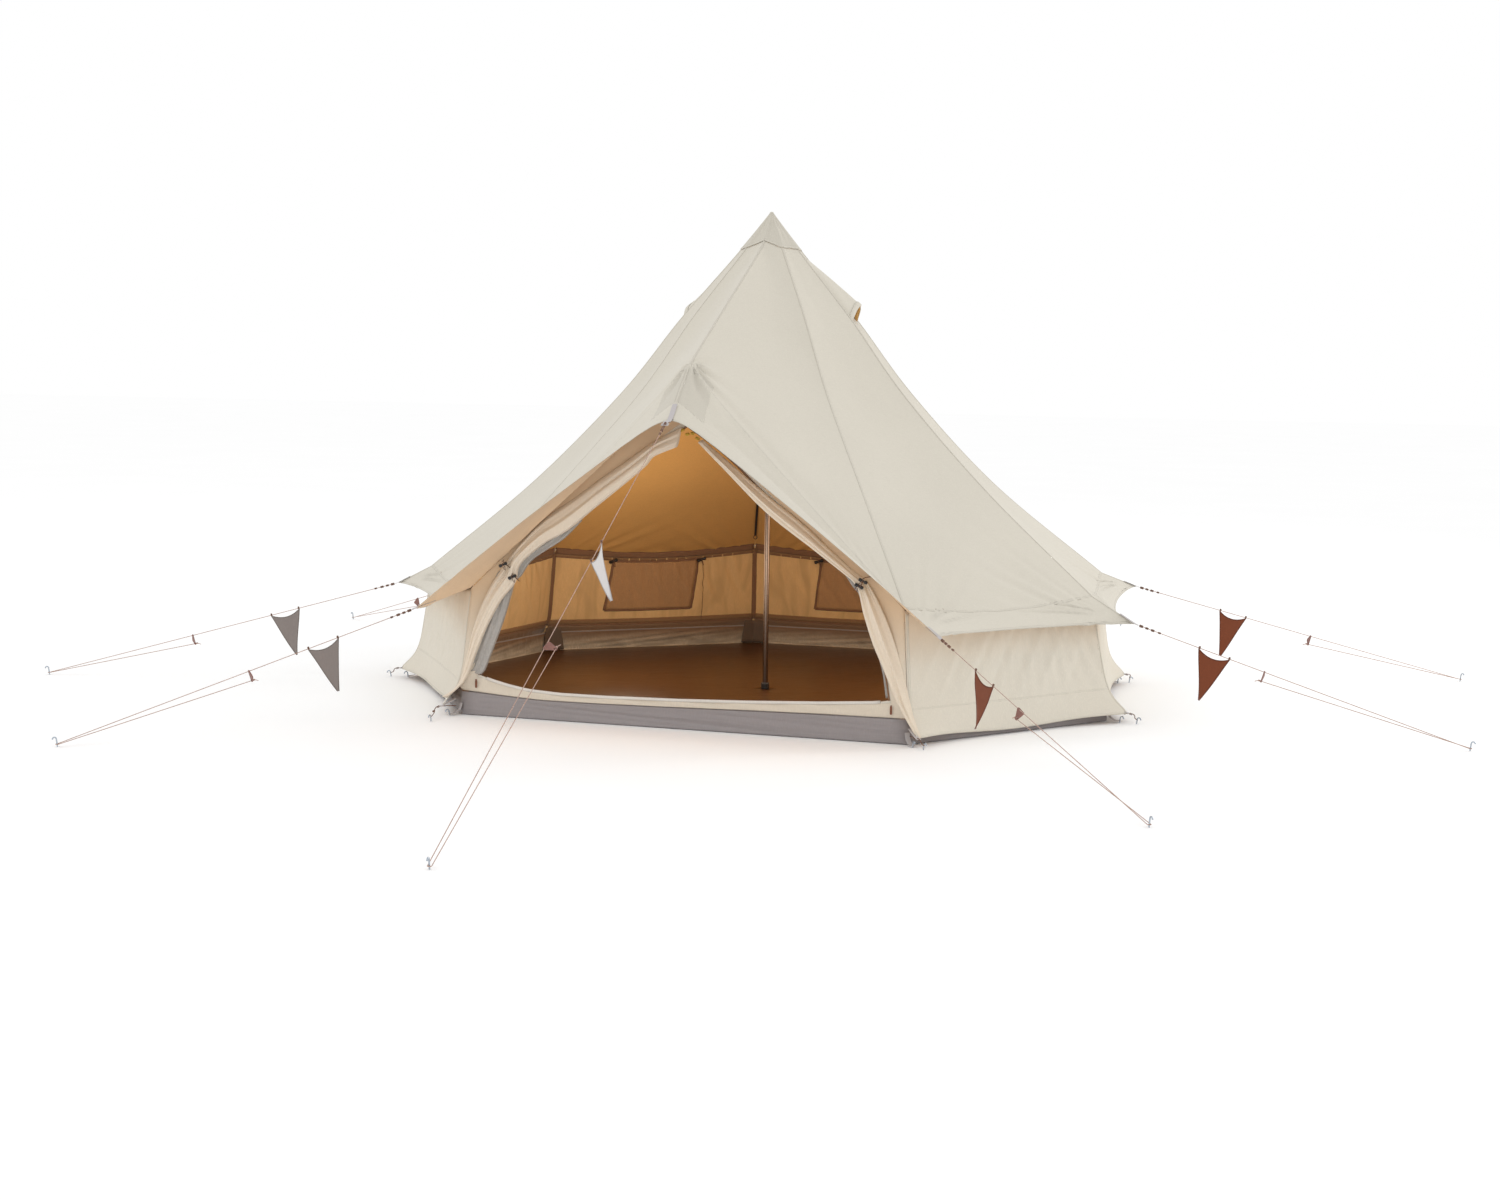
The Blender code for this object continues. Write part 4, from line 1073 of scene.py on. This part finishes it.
MESH_INNER = {
    "right": ((0.45, 1.085), (0.65, 0.935), (0.80, 0.81), (0.864, 0.73), (0.894, 0.698), (0.949, 0.557),
              (0.997, 0.428), (1.03, 0.33), (1.052, 0.212)),
    "left": ((-0.539, 0.997), (-0.637, 0.9), (-0.794, 0.795), (-0.856, 0.709), (-0.885, 0.685),
             (-0.906, 0.612), (-0.944, 0.478), (-0.997, 0.331), (-1.036, 0.229), (-1.060, 0.207)),
}
TOGGLE_HEIGHT = 0.745
# The two layers behind a leaf: how far across and how far forward of the wall
BACK_LAYERS = [
    *((across, 0.009) for across in np.linspace(0.95, 0.06, 10)), (0.03, 0.0075), (0.06, 0.006),
    *((across, 0.006) for across in np.linspace(0.12, 0.92, 8)), (0.95, 0.0047), (0.92, 0.0034),
    *((across, 0.0034) for across in np.linspace(0.88, 0.35, 6)),
]


def leaf_points(side, sign):
    """A gathered door leaf: pleats in front, a rolled edge beside the doorway, two layers behind."""
    outer = even(smooth(LEAF_OUTER[side], 160), 110)
    inner = even(smooth(LEAF_INNER[side], 160), 110)
    points = []
    for (xo, zo, fo), (xi, zi, fi), down in zip(outer, inner, np.linspace(0, 1, 110)):
        squeeze = math.exp(-(((zo + zi) / 2 - TOGGLE_HEIGHT) / 0.075) ** 2)
        bulge = 0.032 + 0.014 * math.sin(math.pi * min(1.0, down * 1.3)) - 0.012 * squeeze
        taper = min(1.0, (1.0 - down) / 0.12 + 0.3) * min(1.0, 0.35 + down / 0.10)
        wide = max(math.hypot(xo - xi, zo - zi), 0.02)
        crest = 0.012 + bulge * math.sin(math.pi / 1.7) ** 0.8 * taper
        row = []
        for across in np.linspace(0, 1, 40):
            pleat = 0.0090 * math.sin(across * math.pi * 3.6 + down * 2.4 + sign)
            pleat += 0.0022 * math.sin(across * math.pi * 8.0 - down * 5.0)
            pleat += 0.0050 * squeeze * math.sin(across * math.pi * 11.0)
            pleat *= min(1.0, wide / 0.05) * (0.6 + 0.4 * squeeze + 0.4 * down) * math.sin(math.pi * across)
            row.append((across, 0.012 + (bulge * math.sin(math.pi * across / 1.7) ** 0.8 + pleat) * taper))
        for turn in np.linspace(0.15, 1.0, 10) * math.pi:
            lap = 1.0 + 0.008 / wide * math.sin(turn)
            row.append((lap, 0.009 + (crest - 0.009) * (0.5 + 0.5 * math.cos(turn))))
        row += BACK_LAYERS
        points.append([front_spot(xo + (xi - xo) * a, zo + (zi - zo) * a, forward + fo + (fi - fo) * a)
                       for a, forward in row])
    points = np.array(points)
    return points if side == "left" else points[:, ::-1]


def build_door_leaves():
    """Both canvas leaves with the mesh ones behind them, each tied back by two toggles."""
    second_toggle = {"right": (0.905, 0.742), "left": (0.880, 0.708)}
    for side, sign in SIDES:
        cloth("door_leaf_" + side, leaf_points(side, sign), ["leaf", "leaf"],
              replaced=["door_flap_" + side])
        build_mesh_leaf(side, sign)
        for index, (x, z) in enumerate(((0.927, 0.768), second_toggle[side])):
            at = front_spot(sign * x, z, 0.060 - 0.012 * index)
            toggle(f"door_toggle_{side}_{index}", Vector(at), Vector((sign * 0.8, 0.0, -0.35)), 1.35)
            low = front_spot(sign * (x - 0.030), z - 0.022, 0.026)
            high = front_spot(sign * (x + 0.022), z + 0.018, 0.010)
            band = smooth([high, at + np.array([0, 0.004, 0.012]), low], 14)
            curve_tube(f"door_tie_{side}_{index}", band, 0.0022, "thin_cord")


def build_mesh_leaf(side, sign):
    """The grey mesh leaf, gathered in five layers behind the canvas one, its edge beside the doorway."""
    wide, inner = 0.095, even(smooth(MESH_INNER[side], 120), 60)
    start, drift = (-0.012, -0.010) if side == "right" else (0.011, 0.0)
    points = []
    for (x, z), down in zip(inner, np.linspace(0, 1, 60)):
        row = []
        for layer in range(5):
            for across in np.linspace(0.0, 1.0, 24) if layer % 2 == 0 else np.linspace(0.96, 0.04, 24):
                fold = 0.004 * math.sin(across * 22.0 + down * 4.0) * math.sin(math.pi * across)
                row.append(front_spot(x + drift * down + sign * wide * across, z + 0.35 * wide * across,
                                      start - 0.0045 * layer + fold))
        points.append(row if side == "right" else row[::-1])
    cloth("mesh_leaf_" + side, points, "mesh")


# ---------------------------------------------------------------- groundsheet


TUB_INSET = 0.02
TUB_WALL = 0.12
TUB_SHEET = 0.003


def tub_plan(steps, inset=0.0):
    """Points round the tub's foot, from the right door corner all the way round, steps for each side."""
    spots = [polar(a, c["base"] - TUB_INSET, 0.0) for a, c in zip(CORNER_ANGLES, CORNERS)]
    points = []
    for index, here in enumerate(spots):
        after = spots[(index + 1) % len(spots)]
        inward = -(here + after).normalized() * inset
        points += [here.lerp(after, step / steps) + inward for step in range(steps)]
    return np.array(points)


def build_groundsheet():
    """The floor and its upstand as one sheet: brown inside on the floor, grey on the upstand and outside."""
    steps = 30
    plan = tub_plan(steps)
    sides = len(CORNERS)
    shares = np.concatenate([[0.002], np.linspace(0.04, 0.985, 44), [0.993]])
    rows = []
    for share in shares:
        row = plan * share
        x, y = row[:, 0], row[:, 1]
        ruck = 0.0012 * (1 + np.sin(x * 9.0 + 2.0 * np.sin(y * 3.0)) * np.sin(y * 5.0 - x))
        row[:, 2] = TUB_SHEET + np.where(0.06 < share < 0.95, ruck, 0.0)
        rows.append(row)
    scale = (2.0 - TUB_INSET - 0.0035) / (2.0 - TUB_INSET)
    across = np.tile(np.arange(steps) / steps, sides)
    at_front = np.arange(len(plan)) >= (sides - 1) * steps
    low = np.where(at_front, tub_top(plan[:, 0]) / TUB_WALL, 1.0)
    for height in np.linspace(0.006, TUB_WALL, 22):
        row = plan * scale
        lean = 0.007 * np.sin(across * 9.0 + height * 70.0)
        lean += 0.0045 * np.sin(height * 130.0 + across * 17.0 + row[:, 0])
        lean *= np.sin(np.pi * across) ** 0.5 * np.sin(np.pi * height / TUB_WALL)
        lean = np.abs(lean) + np.where(at_front, 0.0, 0.012 * height / TUB_WALL)
        row = row * (1 - lean[:, None] / 2.0)
        row[:, 2] = height * low
        rows.append(row)
    points = np.array(rows)
    picks = np.zeros((points.shape[0] - 1, points.shape[1]), int)
    picks[len(shares) - 1:] = 1
    cloth("tub_sheet", points, ["floor", "tub_inner", "tub", "tub"],
          closed=True, inner=2, picks=picks, replaced=["groundsheet"], thickness=0.0028)
    rim = np.concatenate([points[-3:], points[-3:, :1]], axis=1)
    strip("tub_rim", even_rows(rim, 5), "tub", lift=0.0010)
    build_gussets()
    build_tub_front()


def build_gussets():
    """Dark patches inside the rear corners, where the upstand is folded."""
    plan = [polar(a, c["base"] - TUB_INSET, 0.0) for a, c in zip(CORNER_ANGLES, CORNERS)]
    for index in range(1, len(plan) - 1):
        rows = []
        for height in np.linspace(0.008, 0.148, 8):
            row = []
            for share in np.linspace(-1, 1, 21):
                other = plan[index + (1 if share > 0 else -1)]
                run = (other - plan[index]).normalized() * abs(share) * (0.085 - 0.16 * height)
                spot = (plan[index] + run) * (1 - 0.0125)
                spot.z = height
                row.append(tuple(spot))
            rows.append(row)
        patch(f"tub_gusset_{index}", rows[::-1], "gusset", 0.0012)


def build_tub_front():
    """The flap of sheet that closes the gap between the tub and the sill of the doorway."""
    x = np.linspace(1.12, -1.12, 50)
    top = np.array([front_spot(spot, tub_top(spot) + 0.008, -0.0035) for spot in x])
    low = np.array([front_spot(spot, tub_top(spot) - 0.004, -0.0048) for spot in x])
    shares = np.linspace(0, 1, 6)
    points = between(low, top, shares)
    points[..., 1] += 0.0015 * np.sin(x * 12.0) * np.sin(math.pi * shares)[:, None]
    patch("sill_joint", points, "tub", 0.001)


# ---------------------------------------------------------------- pegging at the foot of the walls


def hook_peg(name, at, outwards, height=0.045, radius=0.003):
    """A round steel peg with a hook: the part that stands above the ground."""
    out = Vector(outwards).normalized()
    up = Vector((0, 0, 1))
    route = [at + (up + out * 0.15) * share * height for share in (0.02, 0.4, 0.8, 1.0)]
    middle = route[-1] + out * 0.009
    for step in range(1, 9):
        turn = math.pi * (1 - step / 8 * 1.1)
        route.append(middle + (out * math.cos(turn) + up * math.sin(turn)) * 0.009)
    curve_tube(name, route, radius, "zinc")


def bead(name, at, along, radius, look="thin_cord", body=ROOT):
    """A knot in a cord: three rounded turns."""
    profile = []
    for turn in range(3):
        for swing in np.linspace(0, math.pi, 7):
            height = turn + 0.5 - math.cos(swing) / 2
            profile.append((radius * (0.62 + 0.38 * math.sin(swing)), height * radius * 0.9))
    return lathe(name, profile, look, at=at, towards=along, body=body, steps=14)


# At each corner of the wall: how far out its peg stands, and how far that is turned off the corner's angle
WALL_PEGS = ((0.120, 10.0), (0.135, 0.0), (0.115, 0.0), (0.130, 0.0), (0.130, 0.0), (0.130, 0.0),
             (0.145, 0.0), (0.235, 31.0))
TUB_TAB = ((0.001, 0.060), (0.012, 0.030), (0.040, 0.010), (0.070, 0.008))
WALL_CORD_RADIUS = 0.0022


def build_foot_pegging():
    """At each corner of the wall a webbing tab, a short knotted cord and a peg. A tab and peg on the tub."""
    for around, (angle, corner, peg) in enumerate(zip(CORNER_ANGLES, CORNERS, WALL_PEGS)):
        name = f"{round(angle):03d}"
        out = polar(angle, 1.0, 0.0)
        inset = corner["base"] - TUB_INSET
        tab = smooth([polar(angle, inset + reach, height) for reach, height in TUB_TAB], 12)
        swept(f"tub_tab_{name}", tab, flat_profile(0.025, 0.0018), "webbing")
        hook_peg(f"tub_peg_{name}", polar(angle, inset + 0.066, 0.0), out, height=0.022)
        hem = Vector(wall_at(float(around), 0.99))
        start = polar(angle, corner["base"] + 0.012, 0.048)
        eye = hem + out * 0.030 + Vector((0, 0, -0.004))
        tab = smooth([start + Vector((0, 0, 0.035)), hem + out * 0.004, eye], 12)
        swept(f"wall_tab_{name}", tab, flat_profile(0.022, 0.0020), "webbing")
        reach, turn = peg
        away = polar(angle + turn, 1.0, 0.0)
        at = polar(angle, corner["base"], 0.0) + away * reach
        hook_peg(f"wall_peg_{name}", at, away, height=0.024)
        top = at + away * 0.006 + Vector((0, 0, 0.020))
        path = smooth([start, eye, eye.lerp(top, 0.5) - Vector((0, 0, 0.006)), top], 30)
        cord = curve_tube(f"wall_cord_{name}", path, WALL_CORD_RADIUS, "thin_cord")
        knots = [bead(f"wall_knot_{name}_{index}", path[step], path[-1] - path[0], 0.0052)
                 for index, step in enumerate((10, 17))]


# ---------------------------------------------------------------- guy lines


CORD_RADIUS = 0.00175
LINE_START = 0.012
PEG_HEIGHT = 0.012
PEG_LOOP = 0.008
LEG_SPREAD = 0.048
PORCH_LINE_AT = (1.59, 1.503)
LINE_OFF_EAVE = (0.010, -0.002)
# Where each line is pegged, and how far along it its runner and its pennant are
GUYS = {
    "porch": (2.6, 4.51, 1.90, 1.16),
    "door_right": (41.3, 3.78, 0.70, 0.40),
    "right_front": (81.8, 3.72, 0.66, 0.40),
    "right_rear": (117.6, 4.08, 1.05, 0.57),
    "rear_right": (160.0, 4.00, 1.15, None),
    "rear_left": (200.0, 4.00, 1.15, None),
    "left_rear": (241.6, 4.05, 1.26, None),
    "left_front": (285.3, 3.99, 1.16, 0.63),
    "door_left": (320.3, 3.83, 0.87, 0.48),
}


class Guy:
    """Where one guy line runs: its start off the eave, its peg, its runner and its pennant."""

    def __init__(self, name):
        peg_angle, peg_radius, runner_at, pennant_at = GUYS[name]
        self.name = name
        if name == "porch":
            self.ridge = 0
            self.eave = polar(0.0, *PORCH_LINE_AT)
        else:
            corner = CORNER_NAMES.index(name)
            self.ridge = corner + 1
            self.eave = polar(CORNER_ANGLES[corner], CORNERS[corner]["eave"] + LINE_OFF_EAVE[0],
                              CORNERS[corner]["eave_height"] + LINE_OFF_EAVE[1])
        self.peg = polar(peg_angle, peg_radius, PEG_HEIGHT)
        self.level = Vector((self.peg.x - self.eave.x, self.peg.y - self.eave.y, 0.0)).normalized()
        self.side = Vector((0, 0, 1)).cross(self.level)
        self.start = self.eave + (self.peg - self.eave).normalized() * LINE_START
        self.along = (self.peg - self.side * PEG_LOOP - self.start).normalized()
        down = self.side if name == "porch" else Vector((0, 0, -1))
        self.across = (down - self.along * down.dot(self.along)).normalized()
        below = Vector((0, 0, -1))
        self.below = (below - self.along * below.dot(self.along)).normalized()
        self.runner = self.start + self.along * runner_at
        self.pennant = None if pennant_at is None else self.start + self.along * pennant_at
        self.loop = circle(self.peg, -self.side * PEG_LOOP, self.level * PEG_LOOP, 25)[:13]


def tube_mesh(name, points, radius, steps=10):
    """A round tube along points, as a mesh."""
    side = (points[1] - points[0]).orthogonal().normalized()
    rings = []
    for point, ahead in directions(points):
        side = (side - ahead * side.dot(ahead)).normalized()
        rings.append(circle(point, side * radius, ahead.cross(side) * radius, steps, closed=True))
    return ring_mesh(name, rings, 180)


def build_guy_lines():
    """Each line in two cords: the run round its peg, and the return leg that follows the runner."""
    for name in GUYS:
        guy = Guy(name)
        main = [guy.start.lerp(guy.loop[0], share) for share in np.linspace(0, 0.985, 60)] + guy.loop
        piece = curve_tube(f"line_{name}", main, CORD_RADIUS, "cord", replaced=["guy_line_" + name])
        slot_at = guy.runner + guy.across * LEG_SPREAD
        back = [guy.loop[-1].lerp(slot_at, share) for share in np.linspace(0.0, 1.0, 50)]
        piece = add_object(f"return_{name}", tube_mesh(f"return_{name}", back, CORD_RADIUS))
        finish_piece(piece, "cord", body=None)
        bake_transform(piece)
        build_eave_end(guy)
        build_runner_knot(guy, slot_at)
        if guy.pennant is not None:
            build_pennant(guy)


def build_runner_knot(guy, at):
    """The stopper knot behind the runner's slot, with its short tail."""
    body, towards = "runner_" + guy.name, -guy.along
    bead(f"slot_knot_{guy.name}", at + towards * 0.003, towards, 0.0046, look="cord", body=body)
    tail = [at + towards * back + guy.across * aside
            for back, aside in ((0.012, 0.0), (0.020, 0.004), (0.030, 0.011))]
    curve_tube(f"slot_tail_{guy.name}", smooth(tail, 8), CORD_RADIUS, "cord", body=body)


def build_eave_end(guy):
    """Webbing from the eave corner, and the dark knots that tie the line to it."""
    inner = canopy_at(guy.ridge, HEM_ROW - (0.35 if guy.name != "porch" else 0.55)) + UP * 0.004
    corner = canopy_at(guy.ridge, HEM_ROW) + UP * 0.003
    run = smooth([inner, corner, guy.start - guy.along * 0.004], 14)
    swept(f"eave_tab_{guy.name}", run, flat_profile(0.020, 0.0018), "webbing")
    knots = ((0.002, 0.0072), (0.034, 0.0060), (0.064, 0.0066), (0.102, 0.0052))
    for index, (along, size) in enumerate(knots):
        bead(f"eave_knot_{guy.name}_{index}", guy.start + guy.along * along, guy.along, size)


PENNANT_HALF = 0.078
PENNANT_DROP = 0.25
PENNANT_DIP = 0.026
PENNANT_CLOTH = 0.0008
PENNANT_LOOP = 0.0038


def build_pennant(guy):
    """A three-cornered flag that hangs from the line by its top corners, with bound edges and a curl."""
    body = "pennant_" + guy.name
    colour = {"porch": "pale", "left_front": "grey", "door_left": "grey"}.get(guy.name, "brown")
    swing = 0.030 if guy.name == "porch" else 0.004
    normal = guy.along.cross(guy.below)
    points = []
    for down in np.linspace(0, 1, 30):
        half = PENNANT_HALF * (1 - down) + 0.0022
        row = []
        for across in np.linspace(-1, 1, 22):
            top = PENNANT_DIP * (1 - across * across) * (1 - down) + 0.004
            lean = 0.006 * down * math.sin(3.0 * down)
            curl = 0.006 * down * across * across * math.sin(2.6 * down)
            curl += 0.005 * math.sin(3.2 * down + across)
            curl = curl * min(1.0, down * 3.0) + swing * down * down
            row.append(guy.pennant + guy.along * (across * half + lean) + normal * curl
                       + guy.below * (top + (PENNANT_DROP - 0.004) * down))
        points.append(row)
    points = np.array(points)
    cloth("flag_" + guy.name, points, colour,
          body=body, replaced=[body], thickness=PENNANT_CLOTH)
    for edge, run in (("first", points[:, 0]), ("last", points[:, -1]), ("top", points[0])):
        swept(f"flag_{edge}_{guy.name}", even(run, 40), flat_profile(0.005, 0.0020), colour + "_edge",
              body=body, upright=normal)
    for end, side in (("first", -1.0), ("last", 1.0)):
        centre = guy.pennant + guy.along * side * PENNANT_HALF
        ring = circle(centre, guy.below * PENNANT_LOOP, normal * PENNANT_LOOP, 25)
        curve_tube(f"flag_loop_{end}_{guy.name}", ring, 0.0012, "thin_cord", body=body)
        bead(f"flag_knot_{end}_{guy.name}", centre - guy.below * 0.010, guy.below, 0.0052, body=body)


# ---------------------------------------------------------------- porch, strap and poles


def build_porch_lock():
    """The webbing over the porch tip, with the ladder lock that the porch line hangs from."""
    guy = Guy("porch")
    tip = canopy_at(0.0, HEM_ROW) + np.array([0, -0.002, 0.006])
    run = [canopy_at(0.0, HEM_ROW - 0.55) + UP * 0.003, tip, guy.start + Vector((0, 0, 0.004)),
           guy.start + guy.along * 0.012]
    swept("porch_webbing", smooth(run, 20), flat_profile(0.025, 0.0022), "webbing")
    middle, half = guy.start + guy.along * 0.010, Vector((0.016, 0, 0))
    for index in range(3):
        at = middle + guy.along * (0.008 * index)
        curve_tube(f"ladder_bar_{index}", [at - half, at + half], 0.0022, "webbing")
    for index, hand in enumerate((-1.0, 1.0)):
        rail = [middle + half * hand + guy.along * reach for reach in (-0.002, 0.018)]
        curve_tube(f"ladder_rail_{index}", rail, 0.0022, "webbing")


def build_porch_ties():
    """Knotted yellow ties that hold the cloth to the top of the door frame."""
    spots = ((-0.035, 1.450), (-0.008, 1.433), (0.018, 1.440), (0.045, 1.418))
    for index, (x, height) in enumerate(spots):
        at = Vector(front_spot(x, height, 0.004))
        bead(f"porch_tie_{index}", at, Vector((0.8, -0.2, 0.3 - 0.2 * index)), 0.0075, look="yellow_cord")


def build_strap():
    """A black strap with a hook that hangs down the inside of a rear ridge."""
    ridge, rows = 5.0, np.linspace(4.9, 7.6, 24)
    run = canopy_at(ridge + 0.004, rows) - normals_at(ridge + 0.02, rows) * 0.012
    swept("ridge_strap", run, flat_profile(0.014, 0.0018), "black")
    ring = circle(run[-1] - UP * 0.014, (0.011, 0, 0), (0, 0, 0.011), 22)
    curve_tube("strap_hook", ring, 0.0022, "black")


def dress_nodes():
    """Gives the CAD nodes that stay in view their procedural materials."""
    looks = {"mast_": "steel", "mast_foot": "black", "door_frame": "steel", "runner_": "runner",
             "peg_": "zinc", "zip_pull_": "leather"}
    for name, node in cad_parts.items():
        for start, look in looks.items():
            if name.startswith(start):
                piece = node if hasattr(node, "data") else bpy.data.objects[name]
                piece.data.materials.clear()
                piece.data.materials.append(LOOKS[look])
                piece.data.shade_smooth()
                piece.data.set_sharp_from_angle(angle=math.radians(38))


def build_poles():
    """The collar where the mast's tubes meet, with its spring button."""
    collar = [(0.0158, 1.205), (0.0162, 1.208), (0.0162, 1.247), (0.0158, 1.2495)]
    lathe("mast_collar", collar, "steel")
    lathe("mast_button", [(0.0032, 0.0), (0.0032, 0.0018), (0.0018, 0.0030)], "steel",
          at=(0.006, -0.0148, 1.228), towards=(0.35, -0.94, 0.0), steps=14)


# ---------------------------------------------------------------- floor, light and camera


def build_stage():
    floor = Nodes("studio_floor", (0.995, 0.995, 0.995), 0.9, specular=0.0)
    floor.tint(floor.noise(0.7, 2.0), (0.985, 0.985, 0.985), 0.3, 0.7)
    mesh = bpy.data.meshes.new("studio_floor")
    reach, level = 60.0, -0.001
    corners = [(-reach, -reach, level), (reach, -reach, level), (reach, reach, level), (-reach, reach, level)]
    mesh.from_pydata(corners, [], [(0, 1, 2, 3)])
    piece = add_object("studio_floor", mesh)
    piece.data.materials.append(floor.material)


def area_light(name, at, target, size, power, colour):
    light = bpy.data.lights.new(name, "AREA")
    light.shape = "DISK"
    light.size = size
    light.energy = power
    light.color = colour
    piece = add_object(name, light)
    piece.location = at
    piece.rotation_euler = (Vector(target) - Vector(at)).to_track_quat("-Z", "Y").to_euler()
    return piece


def build_lights():
    world = bpy.data.worlds.new("studio")
    world.use_nodes = True
    background = world.node_tree.nodes["Background"]
    background.inputs["Color"].default_value = (1.0, 1.0, 1.0, 1.0)
    background.inputs["Strength"].default_value = 1.0
    bpy.context.scene.world = world
    area_light("key", (-9.0, -11.0, 11.0), (0.0, 0.0, 0.8), 9.0, 200.0, (1.0, 0.99, 0.98))
    area_light("graze", (9.0, 5.5, 3.6), (1.6, -0.8, 0.5), 2.5, 190.0, (1.0, 0.97, 0.93))
    glows = ((0.85, 0.05, 0.68, 14.0), (-0.85, 0.0, 0.62, 14.0), (0.0, -0.45, 0.65, 6.0),
             (0.45, 0.0, 1.05, 4.0))
    for index, (x, y, height, power) in enumerate(glows):
        inside = bpy.data.lights.new(f"glow_{index}", "POINT")
        inside.energy = power
        inside.color = (1.0, 0.88, 0.72)
        inside.shadow_soft_size = 0.30
        lamp = add_object(f"glow_{index}", inside)
        lamp.location = (x, y, height)
    bpy.context.scene.view_settings.view_transform = "Standard"


def build_camera():
    yaw, pitch, roll = (math.radians(turn) for turn in (18.126, -6.301, 0.773))
    ahead = Vector((-math.sin(yaw) * math.cos(pitch), math.cos(yaw) * math.cos(pitch), math.sin(pitch)))
    level = Vector((math.cos(yaw), math.sin(yaw), 0.0))
    upright = level.cross(ahead)
    right = level * math.cos(roll) + upright * math.sin(roll)
    up = upright * math.cos(roll) - level * math.sin(roll)
    data = bpy.data.cameras.new("camera")
    data.lens = 53.08
    data.sensor_width = 36.0
    data.clip_end = 300.0
    piece = add_object("camera", data)
    turn = Matrix((right, up, -ahead)).transposed().to_4x4()
    piece.matrix_world = Matrix.Translation((3.6488, -11.4318, 1.817)) @ turn
    bpy.context.scene.camera = piece


build_camera()
build_guy_lines()
build_canopy()
build_cap()
build_hoods()
build_walls()
build_windows()
build_front_wall()
build_door_leaves()
build_groundsheet()
build_foot_pegging()
build_porch_lock()
build_porch_ties()
build_strap()
build_poles()
dress_nodes()
build_stage()
build_lights()
